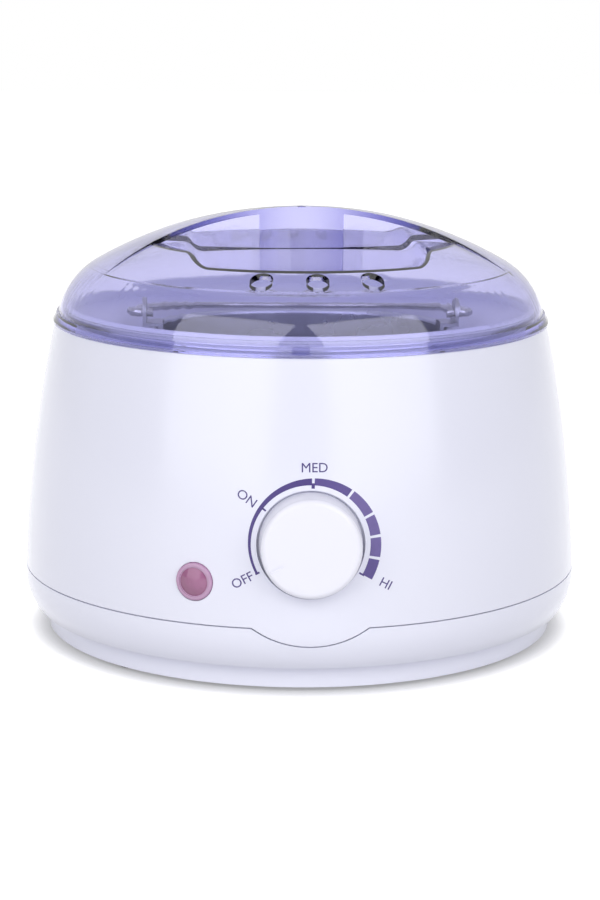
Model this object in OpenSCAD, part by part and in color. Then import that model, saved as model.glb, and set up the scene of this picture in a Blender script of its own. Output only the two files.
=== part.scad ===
// Wax warmer: a round heater housing with a lift-out pot, a wire bail and a tinted clear lid.
// Lengths are in millimetres. Heights are counted from the underside of the plinth, and
// stand_up() raises every piece by the height that the rubber feet stand proud of it.
// The front, with the dial, faces -Y.

/* [Housing] */
// How far the housing's widest part stands out from the plinth
plinth_in = 7.8; // [6:0.1:9]
// Radius of the long arc that the side wall follows upwards
side_arc_r = 441; // [380:1:700]
// Height at which that arc is widest
side_mid_z = 3.3; // [0:0.1:8]
// Height of the seam between the base and the housing
seam_z = 20.5; // [19:0.1:24]
// Width of the seam
seam_gap = 0.4; // [0.3:0.05:0.8]
// Wall thickness of the housing and the base
shell_wall = 2.4; // [2:0.1:3]
// Radius of the rounded lower edge of the base
knee_r = 18; // [16:0.5:20]
// Height of the centre of that rounded edge
knee_z = 18; // [17:0.5:19]

/* [Base] */
// Height of the plinth
plinth_h = 7.2; // [6:0.1:9]
// Thickness of the floor of the base
floor_t = 2.4; // [2:0.1:3.5]
// Height of the locating lip above the seam
lip_h = 3.6; // [2.5:0.1:5]
// Thickness of the locating lip
lip_t = 1.6; // [1.2:0.1:2.2]
// Gap between the lip and the housing wall
lip_fit = 0.2; // [0.1:0.05:0.4]
// Length of a vent slot in the floor
vent_slot_l = 26; // [16:1:32]
// Width of a vent slot in the floor
vent_slot_w = 2.6; // [2:0.1:3.5]
// Distance between vent slots
vent_pitch = 6; // [5:0.5:8]
// Number of vent slots in a group
vent_count = 6; // [3:1:7]

/* [Feet] */
// Radius of a rubber foot
foot_r = 5.8; // [4.5:0.1:6.2]
// Height that a foot stands proud of the plinth
foot_stand = 1.5; // [1:0.1:4]
// Depth of the recess that holds a foot
foot_seat = 1; // [0.6:0.1:1.2]
// Radius of the stud that pins a foot through the floor
foot_stud_r = 2.4; // [1.8:0.1:3]
// Distance from the plinth's edge in to the middle of a foot
foot_in = 8.1; // [7.5:0.1:9]

/* [Housing screws] */
// Distance from the middle of a foot in to the housing screw beside it
post_in = 11.5; // [11:0.1:12.5]
// Distance from the middle of a post in to the heater bowl's flange
post_room = 5.4; // [5.2:0.1:6]
// Radius of a screw post under the top ring
post_r = 4; // [3.6:0.1:4.4]
// Radius of a screw tower in the base
tower_r = 5.2; // [4.9:0.1:5.5]
// Radius of the screw's thread
screw_r = 1.65; // [1.4:0.05:1.9]
// Radius of the screw's head
screw_head_r = 3.2; // [2.8:0.1:3.4]
// Height of the screw's head
screw_head_h = 2.4; // [1.8:0.1:3]
// Length of the screw under its head
screw_l = 19; // [14:0.5:24]

/* [Top ring] */
// Distance from the lid's side in to the collar that stands inside it
collar_in = 3.8; // [3.4:0.1:4.5]
// Height of the collar above the shoulder
collar_h = 5.8; // [4:0.1:7]
// Thickness of the collar
collar_wall = 2; // [1.6:0.1:2.6]
// Depth of the dish's outer edge below the collar's top
dish_drop = 3.4; // [2.5:0.1:5]
// Thickness of the dish
dish_t = 2.4; // [2:0.1:3]
// Width of the flat land that the pot's rim lies over
land_w = 4.6; // [4:0.1:5.5]

/* [Pot] */
// Outer radius of the pot below its rim
pot_r = 48.5; // [45:0.1:50]
// Height of the pot's foot
pot_foot_z = 31; // [30.5:0.1:34]
// Depth of the pot's rim below the housing's shoulder
pot_sunk = 1.6; // [1:0.1:3]
// Depth of the pot over all
pot_depth = 69; // [60:0.5:72]
// How much narrower the pot is at its foot, measured on the radius
pot_taper = 2.5; // [1:0.1:4]
// Radius of the pot's rounded foot
pot_corner_r = 8; // [5:0.5:12]
// Wall thickness of the pot
pot_wall = 1; // [0.8:0.1:1.5]
// Radius of the rolled rim's tube
rim_tube_r = 1.5; // [1.2:0.1:2]
// Clearance under the rim and round the pot in the ring
pot_fit = 0.3; // [0.3:0.05:0.6]

/* [Bail] */
// Thickness of the ears' sheet
ear_t = 1.2; // [1:0.1:1.6]
// Width of an ear
ear_w = 12; // [10:0.5:16]
// Length of the leg that is riveted inside the pot
ear_leg = 11; // [9:0.5:16]
// Height of the bail's pivot above the rim
pivot_up = 4.2; // [3.6:0.1:5]
// Radius of the bail's wire
wire_r = 1.5; // [1.2:0.1:1.8]
// Running clearance of the wire in the ear, on the radius
pivot_fit = 0.08; // [0.05:0.01:0.1]
// Radius of a rivet's shank
rivet_r = 1.5; // [1.2:0.1:1.8]

/* [Heater] */
// Wall thickness of the heater bowl
bowl_wall = 1.2; // [1:0.1:1.6]
// Clearance between the pot and the heater bowl
bowl_gap = 1; // [0.8:0.1:1.5]
// Width of the bowl's flange
flange_w = 9.4; // [9:0.1:10]
// Thickness of the silicone gasket above the flange
gasket_t = 1.2; // [0.8:0.1:2]
// Thickness of the mica band heater
band_t = 2.2; // [1.6:0.1:3]
// Height of the band heater's lower edge
band_z = 40; // [38:0.5:44]
// Height of the band heater
band_h = 22; // [16:0.5:26]
// Width of the split at the back of the band
band_split = 10; // [8:0.5:14]
// Thickness of the fibre wrap round the band
wrap_t = 3; // [2:0.1:4]
// How far the wrap reaches past the band at each edge
wrap_over = 3; // [2:0.5:5]
// How far the heat shield under the bowl reaches past the pot
shield_out = 1.5; // [0:0.1:3]
// Thickness of the heat shield's sheet
shield_t = 0.6; // [0.5:0.1:1]
// Height of the heat shield
shield_z = 19.4; // [18.8:0.1:20]

/* [Dial and knob] */
// Height of the knob's axis
dial_z = 46.3; // [45:0.1:48]
// Radius of the knob at its foot
knob_r = 15.8; // [13:0.1:17]
// How far the knob stands out from the housing
knob_proud = 6.8; // [5.5:0.1:10]
// Draft of the knob's side, measured on the radius
knob_draft = 0.5; // [0.2:0.1:1]
// Rounding of the knob's front edge
knob_edge_r = 1.8; // [1:0.1:2.5]
// Wall thickness of the knob
knob_wall = 1.8; // [1.4:0.1:2.4]
// Clearance round and behind the knob
knob_fit = 0.7; // [0.4:0.1:1]
// Radius of the round tongue that the housing drops into the base below the knob
tongue_r = 31.2; // [30:0.1:32]
// Radius of the thermostat's shaft
shaft_r = 3; // [2.5:0.1:3.5]
// Running clearance of the shaft in its bush, on the radius
shaft_fit = 0.06; // [0.04:0.01:0.1]
// Direction of the knob's pointer at off, in degrees
off_angle = 208.5; // [180:0.5:270]

/* [Thermostat] */
// Width of the thermostat's case
stat_w = 30; // [28:0.5:34]
// Height of the thermostat's case
stat_h = 22; // [18:0.5:26]
// Depth of the thermostat's case
stat_d = 15; // [13:0.5:16]
// Distance between the thermostat's two screws
stat_pitch = 24; // [22:0.5:25]

/* [Lamp] */
// Angle of the lamp from the front, in degrees
lamp_turn = -22.5; // [-32:0.5:-20]
// Height of the lamp
lamp_z = 33.7; // [32:0.1:36]
// Radius of the lens rim
lens_r = 5.9; // [5:0.1:7]
// Radius of the lens barrel and its hole's nominal size
lens_barrel_r = 4.6; // [4:0.1:4.8]
// Radius of the neon bulb
bulb_r = 2.5; // [2:0.1:3]

/* [Lid] */
// Height of the lid's top above the housing's shoulder
lid_h = 37.7; // [35:0.1:42]
// Radius of the lid's crown
crown_r = 139; // [125:1:160]
// Radius of the lid's rounded shoulder
lid_shoulder_r = 25; // [22:0.5:28]
// How far the lid's side lies inside the edge of the shoulder
lid_in = 0.6; // [0.3:0.1:1.5]
// Wall thickness of the lid
lid_wall = 1.8; // [1.5:0.1:2.2]
// Height of the flared rim of the lid
lid_rim_h = 3.2; // [2:0.1:4.5]
// How far the flared rim stands out
lid_flare = 1.2; // [0.6:0.1:1.6]
// Gap under the lid's rim
lid_gap = 0.3; // [0.3:0.05:0.6]
// Turn of the lid on the housing, in degrees
lid_turn = 2.3; // [-10:0.1:10]

/* [Lid grip] */
// Half of the grip's thickness at its waist
grip_half = 2; // [1.5:0.1:4]
// Radius of the hollow that curves each side of the grip
grip_arc_r = 98; // [90:1:120]
// How far the cheeks' dome would lie below the grip's own dome in the middle
cheek_drop = 1.3; // [0.8:0.1:2]
// Depth of the flat shelf below the top of the lid
shelf_drop = 10.7; // [9:0.1:12]
// Depth of the finger scoop below the top of the lid
scoop_drop = 14; // [13:0.1:16]
// Width of the finger scoop
scoop_w = 72; // [60:1:80]
// Radius of the hollow curve from the scoop's floor up to its side
scoop_hollow_r = 5; // [4:0.5:9]
// Radius of the rounded edge between the scoop's side and the shelf
scoop_edge_r = 3; // [2.6:0.1:4]
// Half of the grip's solid middle
grip_core = 14; // [10:1:24]
// Radius of a steam hole
steam_r = 3.6; // [2.5:0.1:4.5]
// Distance from the lid's side in to the middle of a steam hole
steam_in = 16.2; // [15:0.1:18]
// Angle between steam holes, in degrees
steam_step = 15.2; // [12:0.1:20]

/* [Cord inlet and wiring] */
// Height of the cord bush at the back
cord_z = 32; // [31:0.5:36]
// Radius of the bush's bore where it holds the cord
cord_bore_r = 3.4; // [3:0.1:3.8]
// How much wider the bush is inside the wall, measured on the radius
cord_relief = 0.9; // [0.5:0.1:1.2]
// Radius of the bush's neck
bush_neck_r = 5.6; // [5.2:0.1:6]
// Radius of the bush's flange
bush_flange_r = 8; // [7:0.1:9]
// Radius of the wires inside
lead_r = 1.1; // [0.9:0.05:1.3]

/* [Hidden] */
$fn = 96;
EPS = 0.01;

// The heights, from the pot's foot up
pot_top_z = pot_foot_z + pot_depth;
shoulder_z = pot_top_z + pot_sunk;
lid_top_z = shoulder_z + lid_h;

// The radii, from the pot outwards
flange_r = pot_r + bowl_gap + bowl_wall + flange_w;
post_ring_r = flange_r + post_room;
foot_ring_r = post_ring_r + post_in;
plinth_r = foot_ring_r + foot_in;
housing_r = plinth_r + plinth_in;

// The housing's outline: the side arc runs smoothly into the rounded lower edge
side_c = housing_r - side_arc_r;
knee_lean = asin((knee_z - side_mid_z) / (side_arc_r - knee_r));
knee_c = side_c + (side_arc_r - knee_r) * cos(knee_lean);
function side_r(z) = side_c + sqrt(pow(side_arc_r, 2) - pow(z - side_mid_z, 2));

// The lid's radii follow the edge of the shoulder
lid_r = side_r(shoulder_z) - lid_in;
collar_r = lid_r - collar_in;
steam_ring_r = lid_r - steam_in;

// The top ring, from the pot outwards
ring_hole_r = pot_r + 2 * pot_fit;
land_r = ring_hole_r + land_w;
land_z = pot_top_z - 2 * rim_tube_r - pot_fit;
collar_top_z = shoulder_z + collar_h;
collar_in_r = collar_r - collar_wall;
dish_top_z = collar_top_z - dish_drop;
function dish_z(r) = land_z + (dish_top_z - land_z) * (r - land_r) / (collar_in_r - land_r);

// The pot's and the bowl's places
rim_r = pot_r + rim_tube_r - 0.5 * pot_wall;
pot_foot_r = pot_r - pot_taper;
bowl_in_z = pot_foot_z - bowl_gap;
bowl_foot_z = bowl_in_z - bowl_wall;
flange_top_z = land_z - dish_t - gasket_t;
bowl_boss_r = 3.1;
bowl_screw_r = 1.4;
bowl_screw_ring_r = flange_r - bowl_boss_r - 0.6;
function pot_out(z) = pot_foot_r + pot_taper * (z - pot_foot_z - pot_corner_r)
    / (pot_top_z - pot_foot_z - pot_corner_r);
function pot_in(z) = pot_out(z) - pot_wall;
function bowl_out(z) = pot_out(z) + bowl_gap + bowl_wall;

// The band heater's fits
band_fit = 0.1;
clamp_in = band_fit + band_t + band_fit;
clamp_t = 0.8;
clamp_screw_r = 1.5;
clamp_w = 7;
clamp_ear = 10;
wrap_open = 40;
band_mid_z = band_z + band_h / 2;
band_pad = 6;
band_pad_turn = 14;
pad_out = bowl_out(band_z + band_h) + band_t + 1.6;

// The bail
pivot_z = pot_top_z + pivot_up;
ear_x = rim_r + rim_tube_r + ear_t + 0.3;
bail_bend_r = 2 * wire_r;
bail_r = ear_x + bail_bend_r + 0.8;
bail_reach = bail_r + bail_bend_r;
bail_rest = asin((pivot_z - dish_z(bail_reach + wire_r) - wire_r - pot_fit) / bail_reach);

// The dial's place
dial_r = side_r(dial_z);
well_r = knob_r + knob_fit;
well_y = sqrt(pow(side_r(dial_z + well_r), 2) - pow(well_r, 2)) - 0.3;
knob_back = well_y + 0.5 * knob_fit;
knob_len = dial_r + knob_proud - knob_back;
pad_back = well_y - shell_wall;
stat_boss_l = 3;
stat_front = pad_back - stat_boss_l;
stat_plate_t = 1;
shaft_back = stat_front - stat_plate_t - 9;
stat_screw_r = 1.4;
bush_r = shaft_r + 1.6;

// The lamp's place
lens_seat = side_r(lamp_z + lens_r) - 0.5;
lens_rim_t = 1.7;
lens_dome_r = 4.4;
lens_dome_h = 2.6;
lens_fit = 0.15;
lens_barrel_l = 9;

// The screws' places
post_foot_z = seam_z + 3.5;
tower_top_z = post_foot_z - 0.1;
screw_seat_z = tower_top_z - 6;
post_angles = [45, 135, 225, 315];

// The lid's outline
lid_base_z = shoulder_z + lid_gap;
crown_c = lid_top_z - crown_r;
shoulder_cr = lid_r - lid_shoulder_r;
shoulder_cz = crown_c + sqrt(pow(crown_r - lid_shoulder_r, 2) - pow(shoulder_cr, 2));
shelf_z = lid_top_z - shelf_drop;
scoop_z = lid_top_z - scoop_drop;

// The cheeks' arc, which meets the dome just past the place where its crown runs into its shoulder
join_r = shoulder_cr * crown_r / (crown_r - lid_shoulder_r) + 1.5;
join_z = shoulder_cz + sqrt(pow(lid_shoulder_r, 2) - pow(join_r - shoulder_cr, 2));
cheek_sag = lid_top_z - cheek_drop - join_z;
cheek_r = (pow(join_r, 2) + pow(cheek_sag, 2)) / (2 * cheek_sag);
cheek_c = lid_top_z - cheek_drop - cheek_r;

// The scoop's side: a hollow arc from the floor runs into a rounded edge at the shelf
hollow_z = scoop_z + scoop_hollow_r;
edge_z = shelf_z - scoop_edge_r;
side_run = sqrt(pow(scoop_hollow_r + scoop_edge_r + 5 * EPS, 2) - pow(hollow_z - edge_z, 2));
edge_x = scoop_w / 2 + scoop_edge_r;
hollow_x = edge_x - side_run;

// The thermal fuse under the bowl
fuse_r = 2;
fuse_l = 12;
fuse_leg_r = 0.5;
fuse_reach = 12.5;
fuse_strap_l = 16;
fuse_strap_w = 6;

// The inside of the base
shield_post_r = 3.4;
shield_r = pot_r + shield_out;
shield_post_ring_r = shield_r - 8;
rib_start_r = shield_post_ring_r;
shield_post_angles = [90, 210, 330];
block_at = [shield_post_ring_r - 6, 18.5];
block_size = [30, 17, 13];
block_foot_h = 4;
block_w = 8;
block_pitch = 10;
block_bore_r = 2;
block_bore_z = floor_t + 7;
clamp_y = side_r(cord_z) - 24;
clamp_pitch = 18;
clamp_boss_h = 6;
clamp_boss_r = 3.4;
clamp_bar_t = 2.6;

module stand_up() translate([0, 0, foot_stand]) children();

// Places its children at a height on the housing's side, with +Z pointing outwards
module on_side(turn, z) rotate([0, 0, turn]) translate([0, 0, z]) rotate([90, 0, 0]) children();

// Places its children at given angles on a circle
module round_at(angles, r) for (a = angles) rotate([0, 0, a]) translate([r, 0, 0]) children();

// A round piece's half section that is rounded at its outer top corner
module rounded_half_2d(r_foot, r_top, h, edge) {
    polygon([[0, 0], [r_foot, 0], [r_top, h - edge], [r_top - edge, h], [0, h]]);
    translate([r_top - edge, h - edge]) circle(r = edge);
}

// A wire swept along points whose corners are cut twice, so that it bends smoothly
module wire(points, r, sides = 8) {
    path = cut_corners(cut_corners(points));
    along = tangents(path);
    side = carried(along, cross(along[0], [0.36, 0.48, 0.8]), 0);
    last = sides * (len(path) - 1);
    polyhedron(
        points = [for (i = [0 : len(path) - 1], k = [0 : sides - 1]) let (a = 360 * k / sides)
            path[i] + r * (cos(a) * side[i] + sin(a) * cross(along[i], side[i]))],
        faces = concat(
            [[for (k = [0 : sides - 1]) k], [for (k = [sides - 1 : -1 : 0]) last + k]],
            [for (i = [0 : len(path) - 2], k = [0 : sides - 1])
                let (a = i * sides + k, b = i * sides + (k + 1) % sides) [b, a, a + sides]],
            [for (i = [0 : len(path) - 2], k = [0 : sides - 1])
                let (a = i * sides + k, b = i * sides + (k + 1) % sides) [b, a + sides, b + sides]]));
}

function unit(v) = v / norm(v);
function cut_corners(p) = concat([p[0]],
    [for (i = [1 : len(p) - 1], f = [0.25, 0.75]) p[i - 1] + f * (p[i] - p[i - 1])], [p[len(p) - 1]]);
function tangents(p) = [for (i = [0 : len(p) - 1]) unit(p[min(i + 1, len(p) - 1)] - p[max(i - 1, 0)])];
function carried(along, v, i) = i == len(along) ? []
    : let (w = unit(v - (v * along[i]) * along[i])) concat([w], carried(along, w, i + 1));

// A pan-head screw with its head's seat at the origin and its thread along +Z
module pan_screw(r, l, head_r, head_h) {
    cylinder(r = r, h = l);
    difference() {
        translate([0, 0, -head_h]) cylinder(r = head_r, h = head_h);
        for (a = [0, 90]) rotate([0, 0, a])
            translate([-0.7 * head_r, -0.35, -head_h - EPS]) cube([1.4 * head_r, 0.7, 0.5 * head_h]);
    }
}

// Half section of the housing's outer form between two heights, shrunk by inset
module shell_2d(inset, low, high) intersection() {
    union() {
        intersection() {
            translate([side_c, side_mid_z]) circle(r = side_arc_r - inset, $fn = 720);
            // What lies above the line through the centres of both arcs
            polygon([[0, side_mid_z - side_c * tan(knee_lean)],
                     [housing_r, side_mid_z + side_arc_r * tan(knee_lean)],
                     [housing_r, high + 1], [0, high + 1]]);
        }
        translate([knee_c, knee_z]) circle(r = knee_r - inset);
        translate([0, knee_z - knee_r + inset]) square([knee_c, knee_r - inset]);
    }
    translate([0, low]) square([housing_r, high - low]);
}

// Half section of a cup with a tapered side and a rounded foot
module cup_2d(r_foot, r_top, foot_z, top_z, corner) {
    polygon([[0, foot_z], [r_foot - corner, foot_z], [r_foot, foot_z + corner], [r_top, top_z], [0, top_z]]);
    translate([r_foot - corner, foot_z + corner]) circle(r = corner);
}

// The round tongue below the knob, as a solid bar through the front wall
module tongue_bar(extra) on_side(0, dial_z) cylinder(r = tongue_r + extra, h = housing_r + 5);

// Everything up to the middle of the dish's thickness
module under_dish() rotate_extrude()
    polygon([[0, 0], [collar_in_r, 0], [collar_in_r, dish_top_z - 0.5 * dish_t],
             [land_r, land_z - 0.5 * dish_t], [0, land_z - 0.5 * dish_t]]);

module upper_housing() color([0.93, 0.93, 0.98]) stand_up() difference() {
    union() {
        // Side wall
        rotate_extrude() difference() {
            shell_2d(0, seam_z, shoulder_z);
            shell_2d(shell_wall, seam_z, shoulder_z + 1);
            square([housing_r, seam_z + 0.5 * seam_gap]);
        }
        // Tongue that drops into the base
        intersection() {
            rotate_extrude() difference() {
                shell_2d(0, plinth_h, seam_z + 1);
                shell_2d(shell_wall, plinth_h - 1, seam_z + 2);
            }
            tongue_bar(0);
        }
        top_ring();
        // Screw posts and the bowl's bosses, hung from the dish
        intersection() {
            union() {
                round_at(post_angles, post_ring_r)
                    translate([0, 0, post_foot_z]) cylinder(r = post_r, h = dish_top_z - post_foot_z);
                round_at([0, 90, 180, 270], bowl_screw_ring_r)
                    translate([0, 0, flange_top_z]) cylinder(r = bowl_boss_r, h = dish_top_z - flange_top_z);
            }
            under_dish();
        }
        // Thickened pads behind the knob and the lamp
        intersection() {
            rotate_extrude() shell_2d(0, seam_z + lip_h + lip_fit, shoulder_z);
            union() {
                on_side(0, dial_z) translate([0, 0, pad_back]) cylinder(r = well_r + shell_wall, h = 20);
                on_side(lamp_turn, lamp_z) translate([0, 0, lens_seat - shell_wall])
                    cylinder(r = lens_r + shell_wall, h = 20);
                on_side(180, cord_z) translate([0, 0, side_r(cord_z) - 1.6 * shell_wall])
                    cylinder(r = bush_flange_r + 1, h = 20);
            }
        }
        for (s = [-1, 1]) on_side(0, dial_z) translate([s * stat_pitch / 2, 0, stat_front])
            cylinder(r = 2.6, h = stat_boss_l + 1);
    }
    // Knob well, shaft hole and the thermostat's screw holes
    on_side(0, dial_z) {
        translate([0, 0, well_y]) cylinder(r = well_r, h = 20);
        translate([0, 0, pad_back - 2]) cylinder(r = bush_r + 0.3, h = 20);
        for (s = [-1, 1]) translate([s * stat_pitch / 2, 0, stat_front - 1])
            cylinder(r = stat_screw_r + 0.05, h = stat_boss_l + 2);
    }
    // Lens seat and hole
    on_side(lamp_turn, lamp_z) {
        translate([0, 0, lens_seat]) cylinder(r = lens_r + lens_fit, h = 20);
        translate([0, 0, lens_seat - 12]) cylinder(r = lens_barrel_r + lens_fit, h = 20);
    }
    // Hole for the cord bush, with a flat seat for its flange
    on_side(180, cord_z) {
        translate([0, 0, side_r(cord_z + bush_flange_r) - 0.5]) cylinder(r = bush_flange_r + lens_fit, h = 20);
        translate([0, 0, side_r(cord_z) - 12]) cylinder(r = bush_neck_r + lens_fit, h = 20);
    }
    // Pilot holes for the screws
    round_at(post_angles, post_ring_r)
        translate([0, 0, post_foot_z - 1]) cylinder(r = screw_r + 0.05, h = screw_l);
    round_at([0, 90, 180, 270], bowl_screw_ring_r)
        translate([0, 0, flange_top_z - 1]) cylinder(r = bowl_screw_r + 0.05, h = 3.8);
}

// The ledge under the lid, the collar and the dish round the pot
module top_ring() rotate_extrude() {
    translate([collar_in_r, shoulder_z - shell_wall])
        square([side_r(shoulder_z) - collar_in_r, shell_wall]);
    translate([collar_in_r, shoulder_z - shell_wall])
        square([collar_wall, collar_top_z - 0.5 * collar_wall - shoulder_z + shell_wall]);
    translate([collar_r - 0.5 * collar_wall, collar_top_z - 0.5 * collar_wall]) circle(d = collar_wall);
    polygon([[collar_r - 0.5, dish_z(collar_r - 0.5)], [land_r, land_z], [ring_hole_r + 0.8, land_z],
             [ring_hole_r, land_z - 0.8], [ring_hole_r, land_z - dish_t], [land_r, land_z - dish_t],
             [collar_r - 0.5, dish_z(collar_r - 0.5) - dish_t]]);
}

module base() color([0.93, 0.93, 0.98]) stand_up() difference() {
    union() {
        rotate_extrude() difference() {
            union() {
                shell_2d(0, plinth_h, seam_z - 0.5 * seam_gap);
                square([plinth_r, plinth_h + 1]);
            }
            translate([0, floor_t]) square([plinth_r - shell_wall, seam_z]);
            shell_2d(shell_wall, plinth_h + shell_wall, seam_z + 1);
        }
        locating_lip();
        round_at(post_angles, post_ring_r) cylinder(r = tower_r, h = tower_top_z);
        round_at(shield_post_angles, shield_post_ring_r) cylinder(r = shield_post_r, h = shield_z);
        for (s = [-1, 1]) translate([s * clamp_pitch / 2, clamp_y, 0])
            cylinder(r = clamp_boss_r, h = floor_t + clamp_boss_h);
        floor_ribs();
    }
    tongue_bar(seam_gap);
    vent_slots();
    round_at(post_angles, foot_ring_r) {
        translate([0, 0, -1]) cylinder(r = foot_r + 0.1, h = foot_seat + 1);
        cylinder(r = foot_stud_r + 0.05, h = 2 * floor_t);
    }
    round_at(post_angles, post_ring_r) {
        translate([0, 0, -1]) cylinder(r = screw_head_r + 0.4, h = screw_seat_z + 1);
        cylinder(r = screw_r + 0.3, h = tower_top_z + 1);
    }
    round_at(shield_post_angles, shield_post_ring_r)
        translate([0, 0, shield_z - 9]) cylinder(r = stat_screw_r + 0.05, h = 10);
    for (s = [-1, 1]) translate([s * clamp_pitch / 2, clamp_y, floor_t - 1])
        cylinder(r = stat_screw_r + 0.05, h = clamp_boss_h + 2);
}

// The lip that centres the housing on the base
module locating_lip() {
    lip_r = side_r(seam_z + lip_h) - shell_wall - lip_fit;
    rotate_extrude() {
        translate([lip_r - lip_t, seam_z - 5]) square([lip_t, 5 + lip_h]);
        translate([lip_r - lip_t, seam_z - 5]) square([lip_t + lip_fit + 0.8, 5 - 0.5 * seam_gap]);
    }
}

// Ribs that stiffen the floor between the towers
module floor_ribs() difference() {
    for (a = [45, 135]) rotate([0, 0, a])
        translate([-post_ring_r, -0.8, 0]) cube([2 * post_ring_r, 1.6, floor_t + 3]);
    translate([0, 0, -1]) cylinder(r = rib_start_r, h = 20);
}

// Two groups of slots in the floor, left and right of the middle
module vent_slots() for (s = [-1, 1], i = [0 : vent_count - 1])
    translate([s * 33, (i - (vent_count - 1) / 2) * vent_pitch - 8, -1]) {
        translate([-vent_slot_l / 2 + vent_slot_w / 2, -vent_slot_w / 2, 0])
            cube([vent_slot_l - vent_slot_w, vent_slot_w, floor_t + 2]);
        for (e = [-1, 1]) translate([e * (vent_slot_l - vent_slot_w) / 2, 0, 0])
            cylinder(d = vent_slot_w, h = floor_t + 2);
    }

module rubber_feet() color([0.25, 0.25, 0.28]) stand_up() round_at(post_angles, foot_ring_r) {
    translate([0, 0, -foot_stand]) mirror([0, 0, 1]) translate([0, 0, -foot_stand - foot_seat])
        rotate_extrude() rounded_half_2d(foot_r, foot_r - 0.3, foot_stand + foot_seat, 0.5);
    cylinder(r = foot_stud_r, h = floor_t + 0.5);
    translate([0, 0, floor_t]) cylinder(r = foot_stud_r + 0.6, h = 1);
}

module housing_screws() color([0.72, 0.73, 0.75]) stand_up() round_at(post_angles, post_ring_r)
    translate([0, 0, screw_seat_z]) pan_screw(screw_r, screw_l, screw_head_r, screw_head_h);

module heater_bowl() color([0.78, 0.79, 0.8]) stand_up() difference() {
    rotate_extrude() difference() {
        union() {
            cup_2d(pot_foot_r + bowl_gap + bowl_wall, bowl_out(flange_top_z), bowl_foot_z,
                   flange_top_z, pot_corner_r + bowl_gap + bowl_wall);
            translate([0, flange_top_z - bowl_wall]) square([flange_r, bowl_wall]);
        }
        cup_2d(pot_foot_r + bowl_gap, bowl_out(flange_top_z + 1) - bowl_wall, bowl_in_z, flange_top_z + 1,
               pot_corner_r + bowl_gap);
    }
    round_at([0, 90, 180, 270], bowl_screw_ring_r)
        translate([0, 0, flange_top_z - 2 * bowl_wall]) cylinder(r = bowl_screw_r + 0.3, h = 3 * bowl_wall);
}

module bowl_gasket() color([0.75, 0.3, 0.25]) stand_up() translate([0, 0, flange_top_z]) difference() {
    cylinder(r = bowl_screw_ring_r - bowl_boss_r - 0.3, h = gasket_t);
    translate([0, 0, -1]) cylinder(r = ring_hole_r + 0.5, h = gasket_t + 2);
}

module bowl_screws() color([0.72, 0.73, 0.75]) stand_up() round_at([0, 90, 180, 270], bowl_screw_ring_r)
    translate([0, 0, flange_top_z - bowl_wall]) pan_screw(bowl_screw_r, 3.6, 2.6, 1.8);

// A round sleeve that follows the bowl's taper between two heights
module bowl_sleeve(low, high, inner_off, thick) rotate_extrude()
    polygon([[bowl_out(low) + inner_off, low], [bowl_out(low) + inner_off + thick, low],
             [bowl_out(high) + inner_off + thick, high], [bowl_out(high) + inner_off, high]]);

module band_heater() color([0.75, 0.68, 0.5]) stand_up() difference() {
    union() {
        bowl_sleeve(band_z, band_z + band_h, band_fit, band_t);
        // Terminal pads beside the split
        for (s = [-1, 1]) rotate([0, 0, 90 + s * band_pad_turn])
            translate([bowl_out(band_z + band_pad) + 0.5 * band_t, -band_pad / 2, band_z + 1])
                cube([pad_out - bowl_out(band_z + band_pad) - 0.5 * band_t, band_pad, band_pad]);
    }
    translate([-band_split / 2, 0, band_z - 1]) cube([band_split, 2 * pot_r, band_h + 2]);
}

module band_clamp() color([0.7, 0.71, 0.74]) stand_up() {
    difference() {
        bowl_sleeve(band_mid_z - clamp_w / 2, band_mid_z + clamp_w / 2, clamp_in, clamp_t);
        translate([-band_split / 2, 0, band_mid_z - clamp_w]) cube([band_split, 2 * pot_r, 2 * clamp_w]);
    }
    // Ears that the screw draws together
    difference() {
        for (s = [0, 1]) mirror([s, 0, 0])
            translate([band_split / 2, bowl_out(band_mid_z) + clamp_in + band_fit, band_mid_z - clamp_w / 2])
                cube([clamp_t, clamp_ear, clamp_w]);
        clamp_screw_axis() cylinder(r = clamp_screw_r + 0.1, h = 3 * band_split);
    }
}

// The axis of the clamp's screw, starting at the outside of one ear
module clamp_screw_axis()
    translate([-band_split / 2 - clamp_t, bowl_out(band_mid_z) + clamp_in + 0.55 * clamp_ear, band_mid_z])
        rotate([0, 90, 0]) children();

module band_clamp_screw() color([0.6, 0.61, 0.63]) stand_up() clamp_screw_axis() {
    pan_screw(clamp_screw_r, band_split + 2 * clamp_t + 4, 2.7, 1.8);
    // Nut
    translate([0, 0, band_split + 2 * clamp_t]) difference() {
        cylinder(r = 3.1, h = 2.3, $fn = 6);
        translate([0, 0, -1]) cylinder(r = clamp_screw_r - 0.1, h = 5);
    }
}

module heat_wrap() color([0.94, 0.93, 0.88]) stand_up() difference() {
    bowl_sleeve(band_z - wrap_over, band_z + band_h + wrap_over, clamp_in + clamp_t + band_fit, wrap_t);
    // Opening at the back for the clamp and the terminals
    translate([-wrap_open / 2, 0, band_z - wrap_over - 1]) cube([wrap_open, 2 * pot_r, band_h + 2 * wrap_over + 2]);
}

module heat_shield() color([0.8, 0.8, 0.82]) stand_up() difference() {
    translate([0, 0, shield_z]) union() {
        cylinder(r = shield_r, h = shield_t);
        difference() {
            cylinder(r = shield_r, h = 4);
            translate([0, 0, -1]) cylinder(r = shield_r - shield_t, h = 6);
        }
    }
    round_at(shield_post_angles, shield_post_ring_r)
        translate([0, 0, shield_z - 1]) cylinder(r = stat_screw_r + 0.2, h = 3);
    // Holes that let air up past the shield
    round_at([0 : 30 : 330], shield_r - 22) translate([0, 0, shield_z - 1]) cylinder(r = 3, h = 3);
}

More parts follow.
